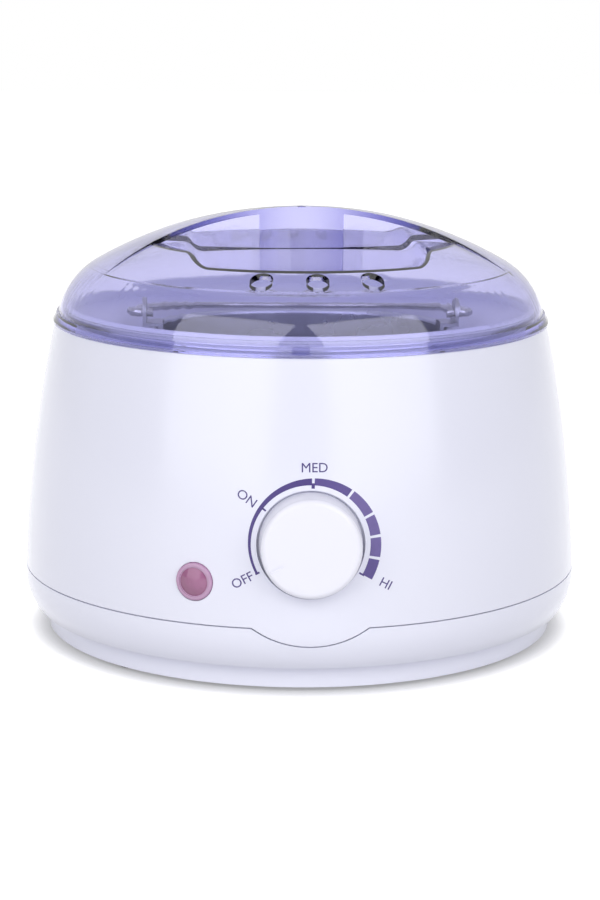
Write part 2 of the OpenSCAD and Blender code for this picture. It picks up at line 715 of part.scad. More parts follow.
module shield_screws() color([0.72, 0.73, 0.75]) stand_up() round_at(shield_post_angles, shield_post_ring_r)
    translate([0, 0, shield_z + shield_t]) mirror([0, 0, 1]) pan_screw(stat_screw_r, 8, 2.6, 1.8);

module thermal_fuse() color([0.85, 0.78, 0.6]) stand_up()
    translate([0, 0, bowl_foot_z - fuse_r]) rotate([90, 0, 0]) {
        cylinder(r = fuse_r, h = fuse_l, center = true);
        // Its two legs
        cylinder(r = fuse_leg_r, h = 2 * fuse_reach, center = true);
    }

// A sheet strap over the fuse, spot welded to the bowl at both feet
module fuse_clip() color([0.7, 0.71, 0.74]) stand_up() translate([0, 0, bowl_foot_z]) difference() {
    union() {
        translate([-fuse_strap_l / 2, -fuse_strap_w / 2, -clamp_t]) cube([fuse_strap_l, fuse_strap_w, clamp_t]);
        translate([0, -fuse_strap_w / 2, -fuse_r]) rotate([-90, 0, 0])
            cylinder(r = fuse_r + clamp_t, h = fuse_strap_w);
    }
    translate([0, -fuse_strap_w, -fuse_r]) rotate([-90, 0, 0])
        cylinder(r = fuse_r + 0.02, h = 2 * fuse_strap_w);
    translate([-fuse_r - 0.02, -fuse_strap_w, -fuse_r])
        cube([2 * fuse_r + 0.04, 2 * fuse_strap_w, 4 * fuse_r]);
    // Nothing of the strap reaches into the bowl's foot
    translate([-2 * fuse_r, -fuse_strap_w, 0]) cube([4 * fuse_r, 2 * fuse_strap_w, 2 * fuse_r]);
}

module thermostat_case() color([0.35, 0.24, 0.2]) stand_up() on_side(0, dial_z) difference() {
    translate([-stat_w / 2, -stat_h / 2, stat_front - stat_plate_t - stat_d]) {
        cube([stat_w, stat_h, stat_d]);
        translate([3, 3, -1.5]) cube([stat_w - 6, stat_h - 6, 2]);
    }
    translate([0, 0, stat_front - stat_plate_t - 10]) cylinder(r = shaft_r + shaft_fit, h = 20);
    for (s = [-1, 1]) translate([s * stat_pitch / 2, 0, stat_front - stat_plate_t - stat_d - 5])
        cylinder(r = 3.2, h = stat_d + 10);
}

module thermostat_plate() color([0.75, 0.76, 0.78]) stand_up() on_side(0, dial_z) difference() {
    union() {
        translate([-stat_pitch / 2 - 3.6, -stat_h / 2, stat_front - stat_plate_t])
            cube([stat_pitch + 7.2, stat_h, stat_plate_t]);
        translate([0, 0, stat_front - stat_plate_t])
            cylinder(r = bush_r, h = well_y - 0.3 - stat_front + stat_plate_t);
    }
    translate([0, 0, stat_front - 5]) cylinder(r = shaft_r + shaft_fit, h = 20);
    for (s = [-1, 1]) translate([s * stat_pitch / 2, 0, stat_front - 3]) cylinder(r = stat_screw_r + 0.2, h = 6);
}

module thermostat_screws() color([0.72, 0.73, 0.75]) stand_up() on_side(0, dial_z)
    for (s = [-1, 1]) translate([s * stat_pitch / 2, 0, stat_front - stat_plate_t])
        pan_screw(stat_screw_r, stat_plate_t + stat_boss_l + 1, 2.6, 1.8);

module thermostat_tabs() color([0.8, 0.7, 0.4]) stand_up() on_side(0, dial_z)
    for (s = [-1, 1]) translate([s * 7 - 3.15, -stat_h / 2 - 8, stat_front - stat_plate_t - 8])
        cube([6.3, 8, tab_t]);

module thermostat_shaft() color([0.82, 0.8, 0.7]) stand_up() on_side(0, dial_z) difference() {
    translate([0, 0, shaft_back]) cylinder(r = shaft_r, h = knob_back + knob_len - knob_wall - 1 - shaft_back);
    // Flat that the knob drives on
    translate([-5, shaft_r - 1, knob_back + 0.3]) cube([10, 5, knob_len]);
}

module knob() color([0.96, 0.96, 1]) stand_up() on_side(0, dial_z) translate([0, 0, knob_back]) difference() {
    rotate_extrude() rounded_half_2d(knob_r, knob_r - knob_draft, knob_len, knob_edge_r);
    difference() {
        translate([0, 0, -1]) cylinder(r = knob_r - knob_draft - knob_wall, h = knob_len - knob_wall + 1);
        cylinder(r = shaft_r + 2, h = knob_len);
        // Webs between the hub and the skirt
        for (a = [0 : 60 : 300]) rotate([0, 0, a]) translate([0, -0.6, 0.8]) cube([knob_r, 1.2, knob_len]);
    }
    difference() {
        translate([0, 0, -1]) cylinder(r = shaft_r + 0.02, h = knob_len - knob_wall + 0.6);
        translate([-5, shaft_r - 1 + 0.02, 0.32]) cube([10, 5, knob_len]);
    }
    // Shallow pointer groove, straight at the off mark when the knob is off
    rotate([0, 0, off_angle]) translate([knob_r * 0.62, -0.4, knob_len - 0.35]) cube([knob_r * 0.26, 0.8, 1]);
}

module indicator_lens() color([0.85, 0.25, 0.5]) stand_up() on_side(lamp_turn, lamp_z)
    translate([0, 0, lens_seat]) difference() {
        union() {
            rotate_extrude() rounded_half_2d(lens_r, lens_r - 0.1, lens_rim_t, 0.7);
            dome_cap(lens_dome_r, lens_dome_h);
            translate([0, 0, -lens_barrel_l]) cylinder(r = lens_barrel_r, h = lens_barrel_l + 1);
        }
        translate([0, 0, -lens_barrel_l - 1]) cylinder(r = bulb_r + 0.6, h = lens_barrel_l + 1.2);
    }

// A shallow dome of a given foot radius and height
module dome_cap(r, h) {
    ball = (r * r + h * h) / (2 * h);
    intersection() {
        translate([0, 0, h - ball]) sphere(r = ball);
        cylinder(r = r, h = h + 1);
    }
}

module lens_clip() color([0.7, 0.71, 0.74]) stand_up() on_side(lamp_turn, lamp_z)
    translate([0, 0, lens_seat - shell_wall - clamp_t]) difference() {
        cylinder(r = lens_barrel_r + 2.6, h = clamp_t);
        translate([0, 0, -1]) cylinder(r = lens_barrel_r + 0.02, h = 3);
        for (a = [0 : 60 : 300]) rotate([0, 0, a]) translate([lens_barrel_r - 1, -0.6, -1]) cube([2.2, 1.2, 3]);
    }

module neon_bulb() color([1, 0.7, 0.5]) stand_up() on_side(lamp_turn, lamp_z) translate([0, 0, lens_seat]) {
    translate([0, 0, -lens_barrel_l - 2]) cylinder(r = bulb_r, h = lens_barrel_l);
    translate([0, 0, -2]) intersection() {
        sphere(r = bulb_r);
        cylinder(r = bulb_r, h = 1.9);
    }
}

module bulb_holder() color([0.9, 0.9, 0.88]) stand_up() on_side(lamp_turn, lamp_z)
    translate([0, 0, lens_seat - lens_barrel_l - 6]) difference() {
        union() {
            cylinder(r = lens_barrel_r, h = 6);
            cylinder(r = lens_barrel_r - 1.6, h = 1);
        }
        translate([0, 0, 4]) cylinder(r = bulb_r + 0.02, h = 3);
        for (s = [-1, 1]) translate([s * 1.4, 0, -1]) cylinder(r = 0.55, h = 6);
    }

module terminal_block() color([0.93, 0.93, 0.9]) stand_up()
    translate([block_at[0], block_at[1], floor_t]) difference() {
        union() {
            translate([-block_size[0] / 2, -block_size[1] / 2, 0])
                cube([block_size[0], block_size[1], block_foot_h]);
            for (i = [-1, 0, 1]) translate([i * block_pitch - block_w / 2, -block_size[1] / 2, 0])
                cube([block_w, block_size[1], block_size[2]]);
        }
        for (i = [-1, 0, 1]) {
            translate([i * block_pitch, -block_size[1], block_bore_z - floor_t]) rotate([-90, 0, 0])
                cylinder(r = block_bore_r, h = 2 * block_size[1]);
            for (s = [-1, 1]) translate([i * block_pitch, s * block_size[1] / 4, block_bore_z - floor_t])
                cylinder(r = block_bore_r, h = block_size[2]);
        }
    }

// Each screw's tip stops just above the wire that it holds
module terminal_screws() color([0.8, 0.7, 0.4]) stand_up() translate([block_at[0], block_at[1], 0])
    for (i = [-1, 0, 1], s = [-1, 1])
        translate([i * block_pitch, s * block_size[1] / 4, floor_t + block_size[2] - 1]) mirror([0, 0, 1])
            difference() {
                cylinder(r = 1.95, h = floor_t + block_size[2] - 1 - block_bore_z - lead_r - 0.05);
                translate([-3, -0.3, -1]) cube([6, 0.6, 1.8]);
            }

module cord_bush() color([0.9, 0.9, 0.94]) stand_up() on_side(180, cord_z) {
    seat = side_r(cord_z + bush_flange_r) - 0.5;
    inside = side_r(cord_z) - 1.6 * shell_wall;
    difference() {
        union() {
            translate([0, 0, seat]) rotate_extrude() rounded_half_2d(bush_flange_r, bush_flange_r - 0.4, 2.4, 1);
            translate([0, 0, inside - 6]) cylinder(r = bush_neck_r, h = seat - inside + 6.5);
            // The nose reaches as far back as the knob does in front
            translate([0, 0, seat + 2]) rotate_extrude()
                rounded_half_2d(bush_neck_r + 0.4, bush_neck_r - 0.6, dial_r + knob_proud - seat - 2, 1);
            // Barb that snaps behind the wall
            translate([0, 0, inside - 2.1]) cylinder(r = bush_neck_r + 1.2, h = 2);
        }
        translate([0, 0, inside]) cylinder(r = cord_bore_r, h = housing_r);
        // The cord can bend freely inside the wall
        translate([0, 0, inside - 10])
            cylinder(r = cord_bore_r + cord_relief, h = side_r(cord_z) + 0.6 - inside + 10);
    }
}

module cord_clamp() color([0.9, 0.9, 0.94]) stand_up()
    translate([0, clamp_y, floor_t + clamp_boss_h]) difference() {
        union() {
            translate([-clamp_pitch / 2 - 4, -4, 0]) cube([clamp_pitch + 8, 8, clamp_bar_t]);
            translate([0, -4, 0]) rotate([-90, 0, 0]) cylinder(r = cord_bore_r + 2.2, h = 8);
        }
        translate([0, -5, 0]) rotate([-90, 0, 0]) cylinder(r = cord_bore_r, h = 10);
        // Only the upper half of the saddle is left
        translate([-clamp_pitch, -10, -10]) cube([2 * clamp_pitch, 20, 10]);
        for (s = [-1, 1]) translate([s * clamp_pitch / 2, 0, -1]) cylinder(r = stat_screw_r + 0.2, h = 6);
    }

module cord_clamp_screws() color([0.72, 0.73, 0.75]) stand_up()
    for (s = [-1, 1]) translate([s * clamp_pitch / 2, clamp_y, floor_t + clamp_boss_h + clamp_bar_t])
        mirror([0, 0, 1]) pan_screw(stat_screw_r, 7.6, 2.6, 1.8);

// Where the wires meet the thermostat's tabs, the block, the fuse and the heater
tab_t = 0.8;
tab_in_y = tab_t / 2 - (stat_front - stat_plate_t - 7.6);
tab_low_z = dial_z - stat_h / 2 - 8;
block_front_y = block_at[1] - block_size[1] / 2;
lamp_lead_r = 0.5;
holder_back = lens_seat - lens_barrel_l - 6;
function lamp_at(back, off) = [
    back * sin(lamp_turn) + off * cos(lamp_turn), -back * cos(lamp_turn) + off * sin(lamp_turn), lamp_z];
function pad_at(turn, out) = [
    -(pad_out + out) * sin(turn), (pad_out + out) * cos(turn), band_z + 1 + band_pad / 2];

module live_lead() color([0.5, 0.3, 0.15]) stand_up() wire([
    [block_at[0] - block_pitch, block_front_y + 6, block_bore_z],
    [block_at[0] - block_pitch, block_front_y - 12, block_bore_z], [18, -50, 8],
    [7, tab_in_y + lead_r, 10], [7, tab_in_y + lead_r, tab_low_z + 5]], lead_r);

// One wire from the thermostat to the fuse, and one from the fuse to the band heater
module heater_leads() color([0.9, 0.88, 0.8]) stand_up() {
    wire([
        [-7, tab_in_y + lead_r, tab_low_z + 5], [-7, tab_in_y + lead_r, 18], [-6, -60, 22],
        [-2, -48, bowl_foot_z - fuse_r], [0, -34, bowl_foot_z - fuse_r], [0, -fuse_reach, bowl_foot_z - fuse_r]],
        lead_r);
    wire([
        [0, fuse_reach, bowl_foot_z - fuse_r], [0, 24, bowl_foot_z - fuse_r], [-9, 34, 27], [-14, 50, 30],
        pad_at(band_pad_turn, 7), pad_at(band_pad_turn, 0)], lead_r);
}

module neutral_lead() color([0.2, 0.35, 0.7]) stand_up() wire([
    [block_at[0] + 0.55, block_front_y + 6, block_bore_z],
    [block_at[0] + 0.55, block_front_y - 6, block_bore_z], [56, -2, 10], [62, 18, 14], [46, 30, 20], [24, 56, 26],
    pad_at(-band_pad_turn, 9), pad_at(-band_pad_turn, 0)], lead_r);

module lamp_leads() color([0.3, 0.3, 0.32]) stand_up() {
    wire([
        lamp_at(holder_back + 2, 1.4), lamp_at(holder_back - 5, 1.4), [-14, -62, 24],
        [-9.4, tab_in_y + lamp_lead_r, 18], [-9.4, tab_in_y + lamp_lead_r, tab_low_z + 5]], lamp_lead_r);
    wire([
        lamp_at(holder_back + 2, -1.4), lamp_at(holder_back - 6, -1.4), [-20, -52, 5], [20, -44, 4.2],
        [31, -12, 4.2], [block_at[0] - 1.15, 0, 6],
        [block_at[0] - 1.15, block_front_y - 4, block_bore_z + lead_r - lamp_lead_r],
        [block_at[0] - 1.15, block_front_y + 6, block_bore_z + lead_r - lamp_lead_r]], lamp_lead_r);
}

module wax_pot() color([0.75, 0.76, 0.78]) stand_up() difference() {
    rotate_extrude() difference() {
        union() {
            cup_2d(pot_foot_r, pot_out(pot_top_z - rim_tube_r), pot_foot_z, pot_top_z - rim_tube_r,
                   pot_corner_r);
            translate([rim_r, pot_top_z - rim_tube_r]) circle(r = rim_tube_r, $fn = 48);
        }
        cup_2d(pot_foot_r - pot_wall, pot_in(pot_top_z + 1), pot_foot_z + pot_wall, pot_top_z + 1,
               pot_corner_r - pot_wall);
    }
    rivet_places() translate([0, 0, -5]) cylinder(r = rivet_r, h = 10);
}

// The four places of the rivets, with +Z pointing outwards through the pot's wall
module rivet_places() for (side = [90, -90], s = [-1, 1])
    on_side(side + s * asin(3.4 / pot_r), pot_top_z - 2 * rim_tube_r - ear_leg / 2)
        translate([0, 0, pot_r - pot_wall]) children();

module pot_ears() color([0.7, 0.71, 0.73]) stand_up() {
    leg_low = pot_top_z - 2 * rim_tube_r - ear_leg;
    difference() {
        union() {
            intersection() {
                rotate_extrude() {
                    polygon([[pot_in(leg_low) - ear_t, leg_low], [pot_in(leg_low) - 0.05, leg_low],
                             [pot_in(pot_top_z) - 0.05, pot_top_z], [pot_in(pot_top_z) - 0.05, pot_top_z + ear_t],
                             [pot_in(pot_top_z) - ear_t, pot_top_z + ear_t]]);
                    translate([pot_in(pot_top_z) - ear_t, pot_top_z])
                        square([ear_x - pot_in(pot_top_z) + ear_t - 0.3, ear_t]);
                }
                translate([-100, -ear_w / 2, 0]) cube([200, ear_w, 200]);
            }
            for (s = [-1, 1]) intersection() {
                translate([s * (ear_x - ear_t / 2) - ear_t / 2, -ear_w / 2, pot_top_z])
                    cube([ear_t, ear_w, pivot_up + ear_w]);
                union() {
                    translate([-100, -ear_w / 2, 0]) cube([200, ear_w, pivot_z - 0.5]);
                    translate([-100, 0, pivot_z - 0.5]) rotate([0, 90, 0]) cylinder(r = ear_w / 2, h = 200);
                }
            }
        }
        translate([-100, 0, pivot_z]) rotate([0, 90, 0]) cylinder(r = wire_r + pivot_fit, h = 200);
        rivet_places() translate([0, 0, -5]) cylinder(r = rivet_r, h = 10);
    }
}

module ear_rivets() color([0.82, 0.83, 0.85]) stand_up() rivet_places() {
    translate([0, 0, -ear_t - 1]) cylinder(r = rivet_r, h = ear_t + pot_wall + 0.9);
    translate([0, 0, -ear_t - 0.6]) mirror([0, 0, 1]) dome_cap(rivet_r + 1.1, 1);
}

// Half a hoop of wire, bent inwards at both ends to hang in the ears
module bail_handle() color([0.66, 0.67, 0.7]) stand_up() translate([0, 0, pivot_z]) rotate([-bail_rest, 0, 0]) {
    translate([0, bail_bend_r, 0]) rotate_extrude(angle = 180) translate([bail_r, 0]) circle(r = wire_r);
    for (s = [0, 1]) mirror([s, 0, 0]) {
        translate([bail_r - bail_bend_r, bail_bend_r, 0]) rotate([0, 0, -90]) rotate_extrude(angle = 90)
            translate([bail_bend_r, 0]) circle(r = wire_r);
        translate([ear_x - ear_t - 2, 0, 0]) rotate([0, 90, 0])
            cylinder(r = wire_r, h = bail_r - bail_bend_r - ear_x + ear_t + 2);
    }
}

// Half section of the lid's dome, shrunk by inset: a crown arc that runs into a shoulder arc
module dome_2d(inset) {
    far = lid_top_z - crown_c + 10;
    intersection() {
        union() {
            intersection() {
                translate([0, crown_c]) circle(r = crown_r - inset, $fn = 360);
                polygon([[0, crown_c], [far * shoulder_cr / (shoulder_cz - crown_c), crown_c + far],
                         [0, crown_c + far]]);
            }
            translate([shoulder_cr, shoulder_cz]) circle(r = lid_shoulder_r - inset);
        }
        translate([0, lid_base_z - 5]) square([housing_r, lid_top_z - lid_base_z + 10]);
    }
}

// The grip's plan: a band across the lid, waisted by one large arc on each side
module grip_band(inset) linear_extrude(height = 200) difference() {
    translate([-housing_r, -housing_r]) square(2 * housing_r);
    for (s = [-1, 1]) translate([0, s * (grip_half + grip_arc_r)]) circle(r = grip_arc_r + inset, $fn = 360);
}

// Half of the scoop's cross-section, grown by a wall
module scoop_half_2d(grow) difference() {
    union() {
        translate([hollow_x, hollow_z]) circle(r = scoop_hollow_r + grow);
        polygon([[0, scoop_z - grow], [hollow_x, scoop_z - grow], [hollow_x, hollow_z], [edge_x, edge_z],
                 [edge_x, lid_top_z + 1], [0, lid_top_z + 1]]);
    }
    translate([edge_x, edge_z]) circle(r = scoop_edge_r - grow);
}

// The two finger scoops, which run out through the front and the back of the dome
module scoops(grow) difference() {
    rotate([90, 0, 0]) linear_extrude(height = 2 * housing_r, center = true) {
        scoop_half_2d(grow);
        mirror([1, 0]) scoop_half_2d(grow);
    }
    intersection() {
        grip_band(grow);
        if (grow > 0) grip_lobes();
    }
}

// The lid's outer form, or its inner form when inset by the wall
module lid_form(inset) {
    difference() {
        union() {
            // The cheeks, up to the shelf
            intersection() {
                rotate_extrude() intersection() {
                    dome_2d(inset);
                    translate([0, cheek_c]) circle(r = cheek_r - inset, $fn = 360);
                }
                cylinder(r = housing_r, h = shelf_z - inset);
            }
            intersection() {
                rotate_extrude() dome_2d(inset);
                grip_band(inset);
                if (inset > 0) grip_lobes();
            }
        }
        scoops(inset);
    }
}

// The parts of the grip that are hollow: all but its thin middle
module grip_lobes() union() {
    for (s = [-1, 1]) translate([s > 0 ? grip_core : -housing_r, -housing_r, 0])
        cube([housing_r - grip_core, 2 * housing_r, 200]);
}

module lid() color([0.62, 0.6, 0.9, 0.5]) stand_up() rotate([0, 0, lid_turn]) difference() {
    union() {
        lid_form(0);
        // Flared rim
        rotate_extrude()
            polygon([[lid_r - 1, lid_base_z], [lid_r + lid_flare, lid_base_z],
                     [lid_r + lid_flare, lid_base_z + 0.8], [lid_r, lid_base_z + lid_rim_h],
                     [lid_r - 1, lid_base_z + lid_rim_h]]);
    }
    lid_form(lid_wall);
    translate([0, 0, -1]) cylinder(r = 2 * housing_r, h = lid_base_z + 1);
    // Steam holes, front and back
    for (side = [0, 180], i = [-1, 0, 1]) rotate([0, 0, side + i * steam_step])
        translate([0, -steam_ring_r, lid_base_z]) cylinder(r = steam_r, h = lid_h);
}

upper_housing();
base();
rubber_feet();
housing_screws();
heater_bowl();
bowl_gasket();
bowl_screws();
band_heater();
band_clamp();
band_clamp_screw();
heat_wrap();
heat_shield();
shield_screws();
thermal_fuse();
fuse_clip();
thermostat_case();
thermostat_plate();
thermostat_screws();
thermostat_tabs();
thermostat_shaft();
knob();
indicator_lens();
lens_clip();
neon_bulb();
bulb_holder();
terminal_block();
terminal_screws();
cord_bush();
cord_clamp();
cord_clamp_screws();
live_lead();
heater_leads();
neutral_lead();
lamp_leads();
wax_pot();
pot_ears();
ear_rivets();
bail_handle();
lid();
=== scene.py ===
"""Dresses the wax warmer in a white studio: housing, lid, pot, dial print, lamp, heater and wires."""
import math

import bmesh
import bpy
from mathutils import Matrix, Vector


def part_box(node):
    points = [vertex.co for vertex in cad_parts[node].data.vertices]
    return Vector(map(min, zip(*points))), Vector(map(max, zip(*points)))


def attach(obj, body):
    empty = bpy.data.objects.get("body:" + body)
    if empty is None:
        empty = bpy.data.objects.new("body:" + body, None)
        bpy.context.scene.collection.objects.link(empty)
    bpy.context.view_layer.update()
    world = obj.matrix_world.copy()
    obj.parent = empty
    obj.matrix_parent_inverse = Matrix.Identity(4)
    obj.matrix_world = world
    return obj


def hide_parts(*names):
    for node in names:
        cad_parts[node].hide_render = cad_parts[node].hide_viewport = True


bl_info = {
    "name": "Wax warmer",
    "version": (1, 0, 0),
    "blender": (4, 5, 0),
    "location": "View3D > Sidebar > Wax warmer",
    "description": "Finishes and fine parts of a round wax warmer with a tinted lid",
    "category": "Object",
}

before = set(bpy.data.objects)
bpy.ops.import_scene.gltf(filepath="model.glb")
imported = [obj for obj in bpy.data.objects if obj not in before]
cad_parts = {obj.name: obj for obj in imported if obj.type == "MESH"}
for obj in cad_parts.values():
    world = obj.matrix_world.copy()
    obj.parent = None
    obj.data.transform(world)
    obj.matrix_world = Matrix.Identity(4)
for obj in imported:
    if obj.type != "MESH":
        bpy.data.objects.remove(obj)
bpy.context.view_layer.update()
MM = 0.001

# An edge that is sharper than this isn't shaded smooth
SHARP = math.radians(35)
# Points of a mesh that are closer than this are one point
SAME_POINT = 0.002 * MM

# The sockets of a Mix node: its factor, its two numbers, its two colours, and the colour that comes out
FACTOR = 0
NUMBER_A = 2
NUMBER_B = 3
COLOUR_A = 6
COLOUR_B = 7
MIXED_COLOUR = 2

# Marks across the heat line: the setting that gives the angle, how far the mark goes inwards and outwards
# from the line's inner edge in millimetres, and half its width in degrees
MARKS = (("off", 0.5, 0.9, 0.9), ("on", 1.1, 0.3, 0.9), ("middle", 1.0, 0.6, 1.62), ("hot", 1.1, 0.6, 0.9))
# Angles at which one block of the heat band gives way to the next, between the middle and the hottest mark
BLOCK_EDGES = (52, 26, 6.5, -12.5)
# The words: angle round the knob, distance from its axis in millimetres, and how far each is turned
# anticlockwise
WORDS = (
    ("OFF", 208.6, 23.4, 29), ("ON", 144.6, 23.7, -35), ("MED", 87.5, 23.2, 0), ("HI", -28.8, 26.0, -28.6))
# The share of the font's size that a capital letter takes
CAPITAL = 0.7
# Screws that stand head down: how high up the thread starts, and the radius of its core, in millimetres
SCREWS = (("housing_screws", 3.4, 1.65), ("bowl_screws", 2.2, 1.4))


# Helpers


def linear(hex_colour):
    """Turns an sRGB hex colour to linear red, green and blue."""
    parts = [int(hex_colour[i:i + 2], 16) / 255 for i in (1, 3, 5)]
    return tuple(c / 12.92 if c <= 0.04045 else ((c + 0.055) / 1.055) ** 2.4 for c in parts)


def tone(colour, share=1.0):
    """A colour made darker or lighter, with the alpha that a socket asks for."""
    return (*[min(1.0, c * share) for c in colour], 1)


def add(tree, kind, sockets=None, **settings):
    """Adds a node; a socket is given a value, or another node's output to link from."""
    made = tree.nodes.new(kind)
    for name, value in settings.items():
        setattr(made, name, value)
    for key, value in (sockets or {}).items():
        if isinstance(value, bpy.types.NodeSocket):
            tree.links.new(value, made.inputs[key])
        else:
            made.inputs[key].default_value = value
    return made


def new_material(name):
    """A material and its empty tree."""
    material = bpy.data.materials.new(name)
    material.use_nodes = True
    material.node_tree.nodes.clear()
    return material, material.node_tree


def colour_property(name, description, hex_colour):
    """A colour that a user can change, written as sRGB hex."""
    return bpy.props.FloatVectorProperty(
        name=name, description=description, subtype="COLOR", size=3, min=0, max=1,
        default=linear(hex_colour))


def length_property(name, description, millimetres):
    """A length that a user can change."""
    return bpy.props.FloatProperty(
        name=name, description=description, unit="LENGTH", subtype="DISTANCE", precision=5,
        default=millimetres * MM)


def angle_property(name, description, degrees):
    """An angle that a user can change."""
    return bpy.props.FloatProperty(
        name=name, description=description, unit="ROTATION", subtype="ANGLE", default=math.radians(degrees))


def count_property(name, description, number):
    """A number of like pieces that a user can change."""
    return bpy.props.IntProperty(name=name, description=description, min=1, default=number)


def as_object(name, mesh):
    """An object at the origin that is shaded smooth except at its sharp edges."""
    piece = bpy.data.objects.new(name, mesh)
    bpy.context.scene.collection.objects.link(piece)
    mesh.shade_smooth()
    mesh.set_sharp_from_angle(angle=SHARP)
    return piece


def new_piece(name, bm, *materials):
    """A piece from a bmesh and its finishes."""
    mesh = bpy.data.meshes.new(name)
    bm.to_mesh(mesh)
    bm.free()
    for material in materials:
        mesh.materials.append(material)
    return as_object(name, mesh)


def mesh_of(thing):
    """Turns an object, as it is after its modifiers, to a plain mesh and removes the object."""
    bpy.context.view_layer.update()
    mesh = bpy.data.meshes.new_from_object(thing.evaluated_get(bpy.context.evaluated_depsgraph_get()))
    bpy.data.objects.remove(thing)
    return mesh


def dress(material, *nodes):
    """Gives CAD nodes their finish."""
    for node in nodes:
        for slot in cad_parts[node].material_slots:
            slot.link = "OBJECT"
            slot.material = material


def points(node):
    """The places of a CAD node's vertices."""
    return [vert.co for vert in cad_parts[node].data.vertices]


def solids(node):
    """The lowest and highest corner of each solid of a CAD node, from left to right."""
    bm = bmesh.new()
    bm.from_mesh(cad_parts[node].data)
    bmesh.ops.remove_doubles(bm, verts=bm.verts, dist=SAME_POINT)
    left = set(bm.verts)
    boxes = []
    while left:
        reached = [left.pop()]
        for vert in reached:
            near = {edge.other_vert(vert) for edge in vert.link_edges} & left
            left -= near
            reached.extend(near)
        places = [vert.co for vert in reached]
        boxes.append((Vector(map(min, zip(*places))), Vector(map(max, zip(*places)))))
    bm.free()
    return sorted(boxes, key=lambda box: tuple(box[0]))


def lathe(bm, outline, steps, place, index):
    """Turns (radius, height) points about a matrix's Z axis and gives the faces a material's index.

    An outline that starts on the axis also ends there, and any other is closed in itself.
    """
    rings = []
    for radius, height in outline:
        angles = [2 * math.pi * k / steps for k in range(steps if radius else 1)]
        rings.append([
            bm.verts.new(place @ Vector((radius * math.cos(a), radius * math.sin(a), height)))
            for a in angles])
    closing = rings[:1] if outline[0][0] else []
    for low, high in zip(rings, rings[1:] + closing):
        for k in range(steps):
            corners = [low[i % len(low)] for i in (k, k + 1)] + [high[i % len(high)] for i in (k + 1, k)]
            # A point on the axis comes twice and counts once
            face = bm.faces.new(list(dict.fromkeys(corners)))
            face.material_index = index


def lathed(name, outlines, steps, place, *materials):
    """A piece turned from one outline for each finish."""
    bm = bmesh.new()
    for index, outline in enumerate(outlines):
        lathe(bm, outline, steps, place, index)
    bmesh.ops.recalc_face_normals(bm, faces=bm.faces)
    return new_piece(name, bm, *materials)


def new_tree(name, inputs):
    """A Geometry Nodes tree with named inputs: the tree, its inputs' sockets and its end node."""
    tree = bpy.data.node_groups.new(name, "GeometryNodeTree")
    for label, kind in {"Start": "Geometry", **inputs, "Finish": "Material"}.items():
        tree.interface.new_socket(label, in_out="INPUT", socket_type="NodeSocket" + kind)
    tree.interface.new_socket("Mesh", in_out="OUTPUT", socket_type="NodeSocketGeometry")
    return tree, tree.nodes.new("NodeGroupInput").outputs, tree.nodes.new("NodeGroupOutput")


def close_tree(tree, given, end, geometry):
    """Ends a tree with real geometry that wears its finish."""
    real = add(tree, "GeometryNodeRealizeInstances", {"Geometry": geometry})
    dressed = add(tree, "GeometryNodeSetMaterial", {"Geometry": real.outputs[0], "Material": given["Finish"]})
    tree.links.new(dressed.outputs[0], end.inputs[0])
    return tree


def grown(name, tree, values, start=None):
    """Runs a tree on a mesh and keeps the result as a plain piece."""
    seed = bpy.data.objects.new(name + "_seed", start or bpy.data.meshes.new(name + "_start"))
    bpy.context.scene.collection.objects.link(seed)
    modifier = seed.modifiers.new("grow", "NODES")
    modifier.node_group = tree
    sockets = {item.name: item.identifier for item in tree.interface.items_tree if item.in_out == "INPUT"}
    for label, value in values.items():
        modifier[sockets[label]] = value
    mesh = mesh_of(seed)
    if not mesh.polygons:
        raise RuntimeError(f"{name} came out empty")
    mesh.name = name
    return as_object(name, mesh)


# Settings


class WARMER_PG_studio(bpy.types.PropertyGroup):
    """Where the camera stands and how the studio is lit."""

    distance: length_property("Distance", "Level distance from the warmer's axis to the camera", 761.7)
    height: length_property("Height", "Height of the camera above the table", 216.7)
    turn: angle_property("Turn", "How far the warmer's front is turned to the right of the camera", 2.2)
    pitch: angle_property("Pitch", "How far the camera looks down", 11.75)
    roll: angle_property("Roll", "How far the camera is tilted", 0.34)
    lens: bpy.props.FloatProperty(
        name="Lens", description="Focal length in millimetres", unit="CAMERA", default=91.97, min=10)
    softbox_watts: bpy.props.FloatProperty(
        name="Softboxes", description="Power of each softbox in watts", unit="POWER", default=13.5, min=0)
    fill: bpy.props.FloatProperty(
        name="Fill", description="Strength of the room's light from the camera's side", default=0.12, min=0)
    backdrop: bpy.props.FloatProperty(
        name="Backdrop", description="Strength of the light that the white backdrop throws on the warmer",
        default=0.9, min=0)


class WARMER_PG_finish(bpy.types.PropertyGroup):
    """Colours of the visible plastics and metals."""

    housing: colour_property("Housing", "Gloss polypropylene of the housing and the base", "#eaebfa")
    knob: colour_property("Knob", "Gloss ABS of the knob", "#f1f1fd")
    lid: colour_property("Lid", "Colour that 5 mm of the lid's acrylic lets through", "#aba9dc")
    lens_rim: colour_property("Lens rim", "Acrylic of the lens's rim", "#dcb4d8")
    lens_dome: colour_property("Lens dome", "Acrylic of the lens's dome", "#b0749c")
    ink: colour_property("Ink", "Ink of the dial's letters and line", "#493b7c")
    ink_ends: colour_property("Outer band ink", "Ink of the heat band's first and last block", "#564889")
    ink_band: colour_property("Inner band ink", "Ink of the heat band's other blocks", "#685a97")
    pot: colour_property("Pot", "Spun aluminium of the pot", "#c4c6cf")


